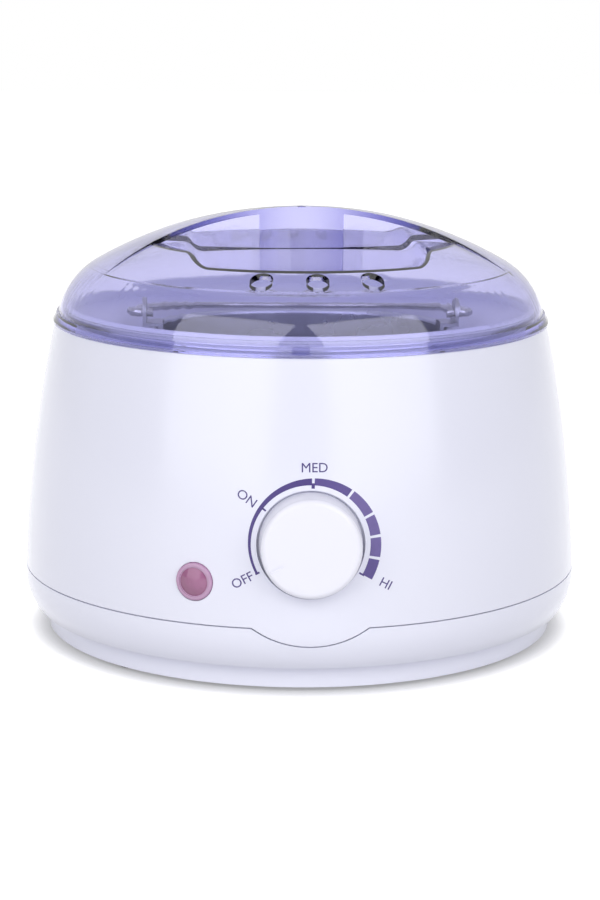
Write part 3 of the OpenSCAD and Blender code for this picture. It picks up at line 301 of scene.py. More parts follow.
class WARMER_PG_dial(bpy.types.PropertyGroup):
    """The print round the knob, seen from the front and counted anticlockwise from the right."""

    height: length_property("Axis height", "Height of the knob's axis above the table", 47.8)
    inner: length_property("Inner radius", "Radius of the inner edge of the heat line", 18.1)
    thin: length_property("Thin end", "Width of the heat line at off", 0.75)
    thick: length_property("Thick end", "Width of the heat line at its hottest", 3.35)
    letter: length_property("Letter height", "Height of a capital letter", 2.85)
    ink_height: length_property("Ink height", "How far the ink stands out from the housing", 0.05)
    off: angle_property("Off", "Angle of the off mark", 208.5)
    on: angle_property("On", "Angle of the on mark", 143)
    middle: angle_property("Middle", "Angle of the middle mark", 88)
    hot: angle_property("Hot", "Angle of the hottest mark", -30.5)
    gap: angle_property("Gap", "Half of the gap between two blocks", 1.2)


class WARMER_PG_lamp(bpy.types.PropertyGroup):
    """The lamp's lens."""

    turn: angle_property("Turn", "Angle of the lamp from the front", -22.5)
    rim: length_property("Rim radius", "Radius of the lens's clear rim", 5.9)
    dome: length_property("Dome radius", "Radius of the lens's dome", 4.4)
    dome_height: length_property("Dome height", "Height of the dome above the rim's foot", 2.6)


class WARMER_PG_trim(bpy.types.PropertyGroup):
    """Small repeated pieces."""

    rests: count_property("Lid rests", "Number of nubs that the lid rests on", 6)
    rest_radius: length_property("Rest radius", "Radius of a nub under the lid's rim", 0.9)
    stitches: count_property("Stitches", "Number of stitches along each edge of the fibre wrap", 64)
    thread_pitch: length_property("Thread pitch", "Distance between the turns of a screw's thread", 1.3)


GROUPS = {
    "warmer_studio": WARMER_PG_studio,
    "warmer_finish": WARMER_PG_finish,
    "warmer_dial": WARMER_PG_dial,
    "warmer_lamp": WARMER_PG_lamp,
    "warmer_trim": WARMER_PG_trim,
}


# Finishes


def moulded(name, colour, roughness, mottle, peel, peel_mm, specular=0.5):
    """Moulded plastic or rubber: even colour with a faint cloudiness, and a skin with slight orange peel."""
    cloud_size = 40 * MM
    peel_depth = 0.05 * MM
    material, tree = new_material(name)
    place = add(tree, "ShaderNodeTexCoord").outputs["Object"]
    cloud = add(tree, "ShaderNodeTexNoise", {"Vector": place, "Scale": 1 / cloud_size, "Detail": 2.0})
    shade = add(tree, "ShaderNodeMix", {
        FACTOR: cloud.outputs["Fac"], COLOUR_A: tone(colour, 1 - mottle), COLOUR_B: tone(colour, 1 + mottle),
    }, data_type="RGBA")
    skin = add(tree, "ShaderNodeTexNoise", {"Vector": place, "Scale": 1 / (peel_mm * MM), "Detail": 1.0})
    sheen = add(tree, "ShaderNodeMapRange", {
        "Value": cloud.outputs["Fac"], "To Min": roughness * 0.85, "To Max": roughness * 1.15})
    bump = add(tree, "ShaderNodeBump", {
        "Height": skin.outputs["Fac"], "Strength": peel, "Distance": peel_depth})
    shader = add(tree, "ShaderNodeBsdfPrincipled", {
        "Base Color": shade.outputs[MIXED_COLOUR], "Roughness": sheen.outputs["Result"], "IOR": 1.49,
        "Specular IOR Level": specular, "Normal": bump.outputs["Normal"]})
    add(tree, "ShaderNodeOutputMaterial", {"Surface": shader.outputs["BSDF"]})
    return material


def clear_tinted(name, passed, depth):
    """Clear acrylic or glass with a tint: polished, and darker the further light goes through it."""
    white = (1, 1, 1)
    material, tree = new_material(name)
    shader = add(tree, "ShaderNodeBsdfPrincipled", {
        "Base Color": tone(white), "Roughness": 0.03, "IOR": 1.58, "Transmission Weight": 1.0})
    # The lamps' light goes straight through to what is inside
    straight = add(tree, "ShaderNodeBsdfTransparent", {"Color": tone(white, 0.92)})
    path = add(tree, "ShaderNodeLightPath").outputs
    either = add(tree, "ShaderNodeMixShader", {
        0: path["Is Shadow Ray"], 1: shader.outputs["BSDF"], 2: straight.outputs["BSDF"]})
    # What is left of each colour after the given depth sets how much each metre takes away
    darkest = 1e-4
    taken = [-math.log(max(c, darkest)) / depth for c in passed]
    density = 1.02 * max(taken)
    volume = add(tree, "ShaderNodeVolumeAbsorption", {
        "Color": (*[1 - t / density for t in taken], 1), "Density": density})
    add(tree, "ShaderNodeOutputMaterial", {
        "Surface": either.outputs["Shader"], "Volume": volume.outputs["Volume"]})
    return material


def milky_acrylic(name, colour, edge_shade, passed, roughness):
    """Coloured acrylic that lets a part of the light through, with painted shade that makes its colour darker
    where it is seen edge on.
    """
    ripple_size = 2.2 * MM
    ripple_depth = 0.5 * MM
    material, tree = new_material(name)
    place = add(tree, "ShaderNodeTexCoord").outputs["Object"]
    cloud = add(tree, "ShaderNodeTexNoise", {"Vector": place, "Scale": 1 / ripple_size, "Detail": 2.0})
    ripple = add(tree, "ShaderNodeBump", {
        "Height": cloud.outputs["Fac"], "Strength": 0.35, "Distance": ripple_depth})
    # Painted shade: the colour goes over to the darker edge colour where the surface turns away from the view
    edge = add(tree, "ShaderNodeLayerWeight", {"Blend": 0.45, "Normal": ripple.outputs["Normal"]})
    shade = add(tree, "ShaderNodeMix", {
        FACTOR: edge.outputs["Facing"], COLOUR_A: tone(colour), COLOUR_B: tone(edge_shade)}, data_type="RGBA")
    shader = add(tree, "ShaderNodeBsdfPrincipled", {
        "Base Color": shade.outputs[MIXED_COLOUR], "Roughness": roughness, "IOR": 1.49,
        "Transmission Weight": passed, "Normal": ripple.outputs["Normal"]})
    add(tree, "ShaderNodeOutputMaterial", {"Surface": shader.outputs["BSDF"]})
    return material


def turned_metal(name, colour, roughness, line_mm, strength, anisotropic=0.4):
    """Spun, drawn or rolled metal: fine lines that run round the axis."""
    smudge_size = 18 * MM
    line_depth = 0.03 * MM
    material, tree = new_material(name)
    place = add(tree, "ShaderNodeTexCoord").outputs["Object"]
    split = add(tree, "ShaderNodeSeparateXYZ", {0: place})
    flat = add(tree, "ShaderNodeCombineXYZ", {0: split.outputs[0], 1: split.outputs[1]})
    radius = add(tree, "ShaderNodeVectorMath", {0: flat.outputs[0]}, operation="LENGTH")
    along = add(tree, "ShaderNodeCombineXYZ", {0: radius.outputs["Value"], 1: split.outputs[2]})
    lines = add(tree, "ShaderNodeTexNoise", {
        "Vector": along.outputs[0], "Scale": 1 / (line_mm * MM), "Detail": 3.0})
    smudge = add(tree, "ShaderNodeTexNoise", {"Vector": place, "Scale": 1 / smudge_size, "Detail": 3.0})
    rough = add(tree, "ShaderNodeMapRange", {
        "Value": smudge.outputs["Fac"], "To Min": roughness * 0.8, "To Max": roughness * 1.25})
    shade = add(tree, "ShaderNodeMix", {
        FACTOR: lines.outputs["Fac"], COLOUR_A: tone(colour, 0.93), COLOUR_B: tone(colour, 1.05),
    }, data_type="RGBA")
    bump = add(tree, "ShaderNodeBump", {
        "Height": lines.outputs["Fac"], "Strength": strength, "Distance": line_depth})
    shader = add(tree, "ShaderNodeBsdfPrincipled", {
        "Base Color": shade.outputs[MIXED_COLOUR], "Metallic": 1.0, "Roughness": rough.outputs["Result"],
        "Anisotropic": anisotropic, "Normal": bump.outputs["Normal"]})
    add(tree, "ShaderNodeOutputMaterial", {"Surface": shader.outputs["BSDF"]})
    return material


def plated_sheet(name, colour, roughness, grain_mm=2.5):
    """Plated or stamped metal: a bright skin with a cloudy grain and small scuffs."""
    scuff_size = 0.6 * MM
    scuff_depth = 0.02 * MM
    material, tree = new_material(name)
    place = add(tree, "ShaderNodeTexCoord").outputs["Object"]
    cloud = add(tree, "ShaderNodeTexVoronoi", {"Vector": place, "Scale": 1 / (grain_mm * MM)})
    scuff = add(tree, "ShaderNodeTexNoise", {"Vector": place, "Scale": 1 / scuff_size, "Detail": 3.0})
    shade = add(tree, "ShaderNodeMix", {
        FACTOR: cloud.outputs["Distance"], COLOUR_A: tone(colour), COLOUR_B: tone(colour, 0.82),
    }, data_type="RGBA")
    rough = add(tree, "ShaderNodeMapRange", {
        "Value": scuff.outputs["Fac"], "To Min": roughness * 0.75, "To Max": roughness * 1.3})
    bump = add(tree, "ShaderNodeBump", {
        "Height": scuff.outputs["Fac"], "Strength": 0.08, "Distance": scuff_depth})
    shader = add(tree, "ShaderNodeBsdfPrincipled", {
        "Base Color": shade.outputs[MIXED_COLOUR], "Metallic": 1.0, "Roughness": rough.outputs["Result"],
        "Normal": bump.outputs["Normal"]})
    add(tree, "ShaderNodeOutputMaterial", {"Surface": shader.outputs["BSDF"]})
    return material


def woven_glass(name, colour):
    """Woven glass-fibre tape: crossed threads a little over a millimetre apart, matt with a silky sheen."""
    thread = 1.1 * MM
    thread_depth = 0.15 * MM
    wrap_radius = 55 * MM
    material, tree = new_material(name)
    place = add(tree, "ShaderNodeTexCoord").outputs["Object"]
    split = add(tree, "ShaderNodeSeparateXYZ", {0: place})
    turn = add(tree, "ShaderNodeMath", {0: split.outputs[1], 1: split.outputs[0]}, operation="ARCTAN2")
    arc = add(tree, "ShaderNodeMath", {0: turn.outputs[0], 1: wrap_radius}, operation="MULTIPLY")
    waves = []
    for way in (arc.outputs[0], split.outputs[2]):
        scaled = add(tree, "ShaderNodeMath", {0: way, 1: 2 * math.pi / thread}, operation="MULTIPLY")
        waves.append(add(tree, "ShaderNodeMath", {0: scaled.outputs[0]}, operation="SINE").outputs[0])
    weave = add(tree, "ShaderNodeMath", {0: waves[0], 1: waves[1]}, operation="MULTIPLY")
    level = add(tree, "ShaderNodeMapRange", {"Value": weave.outputs[0], "From Min": -1.0})
    # The weave's pattern with painted shade: the colour is darker where the weave is low, between the
    # crossing threads
    shade = add(tree, "ShaderNodeMix", {
        FACTOR: level.outputs["Result"], COLOUR_A: tone(colour, 0.78), COLOUR_B: tone(colour),
    }, data_type="RGBA")
    bump = add(tree, "ShaderNodeBump", {
        "Height": level.outputs["Result"], "Strength": 0.6, "Distance": thread_depth})
    shader = add(tree, "ShaderNodeBsdfPrincipled", {
        "Base Color": shade.outputs[MIXED_COLOUR], "Roughness": 0.8, "Sheen Weight": 0.3,
        "Normal": bump.outputs["Normal"]})
    add(tree, "ShaderNodeOutputMaterial", {"Surface": shader.outputs["BSDF"]})
    return material


def printed_ink(name, colour):
    """Pad-printed ink: flat and slightly glossy, a little thinner in places."""
    patch_size = 1.5 * MM
    material, tree = new_material(name)
    place = add(tree, "ShaderNodeTexCoord").outputs["Object"]
    cover = add(tree, "ShaderNodeTexNoise", {"Vector": place, "Scale": 1 / patch_size, "Detail": 2.0})
    shade = add(tree, "ShaderNodeMix", {
        FACTOR: cover.outputs["Fac"], COLOUR_A: tone(colour, 0.9), COLOUR_B: tone(colour, 1.15),
    }, data_type="RGBA")
    shader = add(tree, "ShaderNodeBsdfPrincipled", {
        "Base Color": shade.outputs[MIXED_COLOUR], "Roughness": 0.4})
    add(tree, "ShaderNodeOutputMaterial", {"Surface": shader.outputs["BSDF"]})
    return material


# Geometry Nodes trees


def nub_ring_tree():
    """Low round nubs, evenly spaced on a level circle."""
    tree, given, end = new_tree("nub_ring", {
        "Count": "Int", "Ring radius": "Float", "Height": "Float", "Nub radius": "Float",
        "Nub depth": "Float"})
    ring = add(tree, "GeometryNodeMeshCircle", {"Vertices": given["Count"], "Radius": given["Ring radius"]})
    ball = add(tree, "GeometryNodeMeshUVSphere", {"Segments": 16, "Rings": 8, "Radius": 1.0})
    size = add(tree, "ShaderNodeCombineXYZ", {
        0: given["Nub radius"], 1: given["Nub radius"], 2: given["Nub depth"]})
    nubs = add(tree, "GeometryNodeInstanceOnPoints", {
        "Points": ring.outputs["Mesh"], "Instance": ball.outputs["Mesh"], "Scale": size.outputs[0]})
    lift = add(tree, "ShaderNodeCombineXYZ", {2: given["Height"]})
    placed = add(tree, "GeometryNodeTransform", {
        "Geometry": nubs.outputs[0], "Translation": lift.outputs[0]})
    return close_tree(tree, given, end, placed.outputs[0])


def thread_tree():
    """The three-sided ridge of a screw's thread, started at each point of the start mesh and running up."""
    tree, given, end = new_tree("screw_thread", {
        "Core radius": "Float", "Turns": "Float", "Pitch": "Float", "Ridge": "Float"})
    rise = add(tree, "ShaderNodeMath", {0: given["Turns"], 1: given["Pitch"]}, operation="MULTIPLY")
    path = add(tree, "GeometryNodeCurveSpiral", {
        "Resolution": 18, "Rotations": given["Turns"], "Start Radius": given["Core radius"],
        "End Radius": given["Core radius"], "Height": rise.outputs[0]})
    ridge = add(tree, "GeometryNodeCurvePrimitiveCircle", {"Resolution": 3, "Radius": given["Ridge"]})
    thread = add(tree, "GeometryNodeCurveToMesh", {
        "Curve": path.outputs[0], "Profile Curve": ridge.outputs[0], "Fill Caps": True})
    screws = add(tree, "GeometryNodeInstanceOnPoints", {
        "Points": given["Start"], "Instance": thread.outputs[0]})
    return close_tree(tree, given, end, screws.outputs[0])


def stitch_tree():
    """Short upright stitches along a level arc."""
    tree, given, end = new_tree("edge_stitches", {
        "Count": "Int", "Radius": "Float", "Height": "Float", "Half length": "Float", "Half width": "Float",
        "From": "Float", "Sweep": "Float"})
    arc = add(tree, "GeometryNodeCurveArc", {
        "Resolution": given["Count"], "Radius": given["Radius"], "Start Angle": given["From"],
        "Sweep Angle": given["Sweep"]})
    ball = add(tree, "GeometryNodeMeshUVSphere", {"Segments": 8, "Rings": 6, "Radius": 1.0})
    size = add(tree, "ShaderNodeCombineXYZ", {
        0: given["Half width"], 1: given["Half width"], 2: given["Half length"]})
    stitches = add(tree, "GeometryNodeInstanceOnPoints", {
        "Points": arc.outputs[0], "Instance": ball.outputs["Mesh"], "Scale": size.outputs[0]})
    lift = add(tree, "ShaderNodeCombineXYZ", {2: given["Height"]})
    placed = add(tree, "GeometryNodeTransform", {
        "Geometry": stitches.outputs[0], "Translation": lift.outputs[0]})
    return close_tree(tree, given, end, placed.outputs[0])


def heat_band_tree():
    """A flat arc round the dial that widens between two angles, joined to the start mesh."""
    tree, given, end = new_tree("heat_band", {
        "From": "Float", "To": "Float", "Inner": "Float", "Axis height": "Float", "Off": "Float",
        "Hot": "Float", "Thin": "Float", "Thick": "Float", "Steps": "Int"})
    # A square with sides of 1 is bent: its x runs round the dial and its y across the arc
    grid = add(tree, "GeometryNodeMeshGrid", {
        "Size X": 1.0, "Size Y": 1.0, "Vertices X": given["Steps"], "Vertices Y": 3})
    at = add(tree, "ShaderNodeSeparateXYZ", {0: add(tree, "GeometryNodeInputPosition").outputs[0]})
    angle = add(tree, "ShaderNodeMapRange", {
        "Value": at.outputs[0], "From Min": -0.5, "From Max": 0.5,
        "To Min": given["From"], "To Max": given["To"]})
    width = add(tree, "ShaderNodeMapRange", {
        "Value": angle.outputs["Result"], "From Min": given["Off"], "From Max": given["Hot"],
        "To Min": given["Thin"], "To Max": given["Thick"]}, interpolation_type="SMOOTHSTEP")
    across = add(tree, "ShaderNodeMath", {0: at.outputs[1], 1: 0.5}, operation="ADD")
    radius = add(tree, "ShaderNodeMath", {
        0: across.outputs[0], 1: width.outputs["Result"], 2: given["Inner"]}, operation="MULTIPLY_ADD")
    cos = add(tree, "ShaderNodeMath", {0: angle.outputs["Result"]}, operation="COSINE")
    sin = add(tree, "ShaderNodeMath", {0: angle.outputs["Result"]}, operation="SINE")
    x = add(tree, "ShaderNodeMath", {0: radius.outputs[0], 1: cos.outputs[0]}, operation="MULTIPLY")
    z = add(tree, "ShaderNodeMath", {
        0: radius.outputs[0], 1: sin.outputs[0], 2: given["Axis height"]}, operation="MULTIPLY_ADD")
    spot = add(tree, "ShaderNodeCombineXYZ", {0: x.outputs[0], 2: z.outputs[0]})
    bent = add(tree, "GeometryNodeSetPosition", {
        "Geometry": grid.outputs["Mesh"], "Position": spot.outputs[0]})
    both = add(tree, "GeometryNodeJoinGeometry")
    tree.links.new(given["Start"], both.inputs[0])
    tree.links.new(bent.outputs[0], both.inputs[0])
    return close_tree(tree, given, end, both.outputs[0])


def laid_ink_tree():
    """Lays a flat shape that faces the front on a curved surface behind it, as a thin coat of ink."""
    in_front = (0, -0.3, 0)
    weld = 0.001 * MM
    tree, given, end = new_tree("laid_ink", {"Surface": "Object", "Lift": "Float", "Coat": "Float"})
    surface = add(tree, "GeometryNodeObjectInfo", {"Object": given["Surface"]}, transform_space="RELATIVE")
    place = add(tree, "GeometryNodeInputPosition").outputs[0]
    start = add(tree, "ShaderNodeVectorMath", {0: place, 1: in_front}, operation="ADD")
    ray = add(tree, "GeometryNodeRaycast", {
        "Target Geometry": surface.outputs["Geometry"], "Source Position": start.outputs[0],
        "Ray Direction": (0, 1, 0), "Ray Length": 1.0})
    back = add(tree, "ShaderNodeMath", {0: given["Lift"], 1: -1.0}, operation="MULTIPLY")
    out = add(tree, "ShaderNodeCombineXYZ", {1: back.outputs[0]})
    spot = add(tree, "ShaderNodeVectorMath", {
        0: ray.outputs["Hit Position"], 1: out.outputs[0]}, operation="ADD")
    laid = add(tree, "GeometryNodeSetPosition", {"Geometry": given["Start"], "Position": spot.outputs[0]})
    coat = add(tree, "GeometryNodeExtrudeMesh", {
        "Mesh": laid.outputs[0], "Offset": (0, -1, 0), "Offset Scale": given["Coat"], "Individual": False})
    under = add(tree, "GeometryNodeFlipFaces", {"Mesh": laid.outputs[0]})
    both = add(tree, "GeometryNodeJoinGeometry")
    tree.links.new(coat.outputs["Mesh"], both.inputs[0])
    tree.links.new(under.outputs[0], both.inputs[0])
    whole = add(tree, "GeometryNodeMergeByDistance", {"Geometry": both.outputs[0], "Distance": weld})
    return close_tree(tree, given, end, whole.outputs[0])


# Studio


def add_camera(scene, s):
    """A camera that stands and looks as the settings say."""
    camera = bpy.data.objects.new("camera", bpy.data.cameras.new("camera"))
    scene.collection.objects.link(camera)
    scene.camera = camera
    camera.data.lens = s.lens
    camera.data.sensor_width = 36
    camera.data.clip_end = 50
    level = Vector((math.sin(s.turn), math.cos(s.turn), 0))
    right = Vector((level.y, -level.x, 0))
    ahead = math.cos(s.pitch) * level - math.sin(s.pitch) * Vector((0, 0, 1))
    up = right.cross(ahead)
    place = Matrix((
        math.cos(s.roll) * right + math.sin(s.roll) * up,
        math.cos(s.roll) * up - math.sin(s.roll) * right,
        -ahead)).transposed().to_4x4()
    place.translation = Vector((0, 0, s.height)) - s.distance * level
    camera.matrix_world = place


def add_softboxes(scene, watts):
    """Two wide softboxes, left and right of the camera, with a narrow gap between them."""
    away = 1.35
    height = 0.74
    aim = Vector((0, 0, 80 * MM))
    for name, degrees in (("softbox_left", -38), ("softbox_right", 34)):
        light = bpy.data.lights.new(name, "AREA")
        light.shape = "RECTANGLE"
        light.size = 1.34
        light.size_y = 1.46
        light.energy = watts
        lamp = bpy.data.objects.new(name, light)
        turn = math.radians(degrees)
        lamp.location = (away * math.sin(turn), -away * math.cos(turn), height)
        lamp.rotation_euler = (aim - lamp.location).to_track_quat("-Z", "Y").to_euler()
        scene.collection.objects.link(lamp)


def add_white_room(scene, fill, backdrop):
    """A room that is white where it is seen, and that lights the warmer more from behind than in front."""
    world = bpy.data.worlds.new("white_room")
    scene.world = world
    world.use_nodes = True
    world.node_tree.nodes.clear()
    tree = world.node_tree
    # A direction's y: 1 is straight behind the warmer, where the backdrop stands, and -1 is in front of it
    place = add(tree, "ShaderNodeTexCoord").outputs["Generated"]
    behind = add(tree, "ShaderNodeSeparateXYZ", {0: place}).outputs[1]
    lit = add(tree, "ShaderNodeMapRange", {
        "Value": behind, "From Min": -0.1, "From Max": 0.7, "To Min": fill, "To Max": backdrop})
    gloss = add(tree, "ShaderNodeMapRange", {
        "Value": behind, "From Min": -0.45, "From Max": 0.25, "To Min": fill, "To Max": 1.0})
    path = add(tree, "ShaderNodeLightPath").outputs
    in_gloss = add(tree, "ShaderNodeMix", {
        FACTOR: path["Is Glossy Ray"], NUMBER_A: lit.outputs["Result"], NUMBER_B: gloss.outputs["Result"]})
    # What is seen through the lid is white, and what only lights the inside through it isn't
    first = add(tree, "ShaderNodeMath", {0: path["Diffuse Depth"], 1: 0.5}, operation="LESS_THAN")
    through = add(tree, "ShaderNodeMath", {
        0: path["Is Transmission Ray"], 1: first.outputs[0]}, operation="MULTIPLY")
    clear = add(tree, "ShaderNodeMath", {
        0: path["Is Camera Ray"], 1: through.outputs[0]}, operation="MAXIMUM")
    strength = add(tree, "ShaderNodeMix", {
        FACTOR: clear.outputs[0], NUMBER_A: in_gloss.outputs[0], NUMBER_B: 1.0})
    sky = add(tree, "ShaderNodeBackground", {"Color": (1, 1, 1, 1), "Strength": strength.outputs[0]})
    add(tree, "ShaderNodeOutputWorld", {"Surface": sky.outputs[0]})


def white_table():
    """A round table top: grey in the warmer's own shadow and in a painted shadow round the plinth, and as
    white as the room further away.
    """
    top_radius = 3.5
    painted_shadow_width = 12 * MM
    plinth_height = 4 * MM
    # Matt white paint that glows where it is seen, in itself, in a gloss or through something clear; near the
    # plinth the glow is turned down, a painted shadow
    material, tree = new_material("painted_table")
    paint = add(tree, "ShaderNodeBsdfDiffuse", {"Color": (0.6, 0.6, 0.61, 1)})
    path = add(tree, "ShaderNodeLightPath").outputs
    direct = add(tree, "ShaderNodeMath", {
        0: path["Is Camera Ray"], 1: path["Is Glossy Ray"]}, operation="MAXIMUM")
    seen = add(tree, "ShaderNodeMath", {
        0: direct.outputs[0], 1: path["Is Transmission Ray"]}, operation="MAXIMUM")
    place = add(tree, "ShaderNodeTexCoord").outputs["Object"]
    far = add(tree, "ShaderNodeVectorMath", {0: place}, operation="LENGTH")
    plinth = max(co.xy.length for co in points("base") if co.z < plinth_height)
    # Painted shadow: the glow is a quarter of full at the plinth's foot and grows to full over a short width
    lift = add(tree, "ShaderNodeMapRange", {
        "Value": far.outputs["Value"], "From Min": plinth, "From Max": plinth + painted_shadow_width,
        "To Min": 0.25, "To Max": 1.0}, interpolation_type="SMOOTHSTEP")
    glow = add(tree, "ShaderNodeMath", {0: seen.outputs[0], 1: lift.outputs["Result"]}, operation="MULTIPLY")
    light = add(tree, "ShaderNodeEmission", {"Color": (1, 1, 1, 1), "Strength": glow.outputs[0]})
    both = add(tree, "ShaderNodeAddShader", {0: paint.outputs[0], 1: light.outputs[0]})
    add(tree, "ShaderNodeOutputMaterial", {"Surface": both.outputs[0]})
    bm = bmesh.new()
    bmesh.ops.create_circle(bm, cap_ends=True, segments=64, radius=top_radius)
    return new_piece("table", bm, material)


# Pieces


def collar_sleeve(material):
    """The bright sleeve round the housing's collar, which shows low down through the lid."""
    clearance = 0.04 * MM
    sheet = 0.3 * MM
    bevel = 0.1 * MM
    above_ledge = 0.05 * MM
    below_top = 1.2 * MM
    housing = points("upper_housing")
    lid_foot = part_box("lid")[0][2]
    collar = max(co.xy.length for co in housing if co.z > lid_foot)
    low = max(co.z for co in housing if co.xy.length > collar + MM) + above_ledge
    high = max(co.z for co in housing) - below_top
    near = collar + clearance
    far = near + sheet
    outline = [(near, low), (far, low), (far, high - bevel), (far - bevel, high), (near, high)]
    return lathed("collar_sleeve", [outline], 256, Matrix(), material)


def gate_mark(top, material):
    """The mark that the mould's gate leaves on top of the grip: a low round rise with a pit in its middle."""
    root = -0.3 * MM
    radius = 1.3 * MM
    side = 0.04 * MM
    bevel = 0.1 * MM
    rise = 0.1 * MM
    pit_edge = 0.5 * MM
    pit_radius = 0.3 * MM
    pit = 0.02 * MM
    outline = [(0, root), (radius, root), (radius, side), (radius - bevel, rise), (pit_edge, rise),
               (pit_radius, pit), (0, pit)]
    return lathed("gate_mark", [outline], 32, Matrix.Translation((0, 0, top)), material)


def lamp_lens(p, rim_acrylic, dome_acrylic):
    """The lamp's lens: a rim with a rounded edge, a dome in its middle and a barrel through the wall."""
    barrel_radius = 4.6 * MM
    barrel_depth = 9 * MM
    # The rim's foot is sunk a hair into the wall
    foot = -0.02 * MM
    rim_top = 1.7 * MM
    rounding = 0.7 * MM
    # The dome stands in a recess that is as deep as the groove round the dome is wide, a hair above its floor
    groove = 0.3 * MM
    floor = rim_top - groove
    dome_foot = floor + 0.01 * groove

    rim = [(0, -barrel_depth), (barrel_radius, -barrel_depth), (barrel_radius, foot), (p.rim, foot),
           (p.rim, rim_top - rounding)]
    for degrees in range(15, 105, 15):
        a = math.radians(degrees)
        rim.append((p.rim - rounding * (1 - math.cos(a)), rim_top - rounding * (1 - math.sin(a))))
    rim += [(p.dome + groove, rim_top), (p.dome + groove, floor), (0, floor)]

    rise = p.dome_height - floor
    ball = (p.dome ** 2 + rise ** 2) / (2 * rise)
    dome = [(0, dome_foot), (p.dome, dome_foot)]
    for degrees in range(9, 90, 9):
        radius = p.dome * math.cos(math.radians(degrees))
        dome.append((radius, p.dome_height - ball + math.sqrt(ball ** 2 - radius ** 2)))
    dome.append((0, p.dome_height))

    # The lens's axis points out of the housing's side, and its dome comes out as far as the node does
    low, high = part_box("indicator_lens")
    turned = Matrix.Rotation(p.turn, 4, "Z")
    reach = max(-(turned.inverted() @ co).y for co in points("indicator_lens"))
    middle = Matrix.Translation((0, 0, 0.5 * (low[2] + high[2])))
    outwards = Matrix.Rotation(math.pi / 2, 4, "X") @ Matrix.Translation((0, 0, reach - p.dome_height))
    return lathed("lamp_lens", [rim, dome], 64, turned @ middle @ outwards, rim_acrylic, dome_acrylic)


def screw_threads(tree, node, start, core, pitch, material):
    """The threads of a node's screws, which are alike and stand head down."""
    plain_end = 0.4 * MM
    ridge = 0.22 * MM
    boxes = solids(node)
    feet = []
    for low, high in boxes:
        middle = 0.5 * (low + high)
        feet.append((middle.x, middle.y, low.z + start))
    starts = bpy.data.meshes.new(node)
    starts.from_pydata(feet, [], [])
    low, high = boxes[0]
    turns = (high.z - low.z - start - plain_end) / pitch
    return grown(node + "_thread", tree, {
        "Core radius": core, "Turns": turns, "Pitch": pitch, "Ridge": ridge, "Finish": material}, starts)


def edge_stitches(tree, name, edge, inwards, count, material):
    """Stitches along one edge of the fibre wrap, which is open at the back."""
    opening = math.radians(44)
    radius = max(co.xy.length for co in points("heat_wrap") if abs(co.z - edge) < MM)
    return grown(name, tree, {
        "Count": count, "Radius": radius, "Height": edge + inwards, "Half length": 1.8 * MM,
        "Half width": 0.4 * MM, "From": 0.5 * (math.pi + opening), "Sweep": 2 * math.pi - opening,
        "Finish": material})


def flat_word(text, height):
    """The flat letters of a word, centred, with capitals of the given height."""
    curve = bpy.data.curves.new(text, "FONT")
    curve.body = text
    curve.size = height / CAPITAL
    curve.align_x = "CENTER"
    curve.align_y = "CENTER"
    curve.resolution_u = 4
    word = bpy.data.objects.new(text, curve)
    bpy.context.scene.collection.objects.link(word)
    return mesh_of(word)


# Operators


class WARMER_OT_studio(bpy.types.Operator):
    """Sets up the camera, two softboxes, the white room and the table"""

    bl_idname = "warmer.studio"
    bl_label = "Studio"

    def execute(self, context):
        scene = context.scene
        s = scene.warmer_studio
        scene.view_settings.view_transform = "Standard"
        add_camera(scene, s)
        add_softboxes(scene, s.softbox_watts)
        add_white_room(scene, s.fill, s.backdrop)
        white_table()
        return {"FINISHED"}


class WARMER_OT_housing(bpy.types.Operator):
    """Finishes the housing, the base, the feet and the nylon parts, and adds the collar's bright sleeve"""

    bl_idname = "warmer.housing"
    bl_label = "Housing and base"

    def execute(self, context):
        f = context.scene.warmer_finish
        # Gloss polypropylene: white with a breath of lavender, a soft deep gloss
        dress(moulded("polypropylene_gloss", f.housing, 0.2, mottle=0.006, peel=0.03, peel_mm=2.5),
              "upper_housing", "base")
        # Matt moulded rubber: dark, with a fine tooth
        dress(moulded("rubber_matt", linear("#3a3a40"), 0.75, mottle=0.1, peel=0.3, peel_mm=0.5,
                      specular=0.3), "rubber_feet")
        # Moulded nylon: slightly warm, half gloss
        dress(moulded("nylon_moulded", linear("#e9e8ea"), 0.45, mottle=0.02, peel=0.1, peel_mm=1.0),
              "cord_bush", "cord_clamp", "terminal_block", "bulb_holder")
        # Polished aluminium strip: bright, with fine rolling lines
        sleeve = collar_sleeve(turned_metal(
            "aluminium_polished", linear("#c3c5d0"), 0.16, line_mm=0.4, strength=0.05, anisotropic=0.3))
        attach(sleeve, "housing")
        return {"FINISHED"}


class WARMER_OT_lid(bpy.types.Operator):
    """Tints the lid, and adds its gate mark and the nubs that it rests on"""

    bl_idname = "warmer.lid"
    bl_label = "Lid"

    def execute(self, context):
        f = context.scene.warmer_finish
        t = context.scene.warmer_trim
        # Injection moulded acrylic: water clear with a lavender tint, which deepens along the edges
        acrylic = clear_tinted("acrylic_lavender", f.lid, 5 * MM)
        dress(acrylic, "lid")
        low, high = map(Vector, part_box("lid"))
        # Half of each nub shows under the rim, down to the housing's shoulder
        from_edge = 2.1 * MM
        in_rim = 0.05 * MM
        rests = grown("lid_rests", nub_ring_tree(), {
            "Count": t.rests, "Ring radius": high.x - from_edge, "Height": low.z + in_rim,
            "Nub radius": t.rest_radius, "Nub depth": 0.33 * MM, "Finish": acrylic})
        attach(rests, "lid")

        mark = gate_mark(high.z, acrylic)
        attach(mark, "lid")
        return {"FINISHED"}


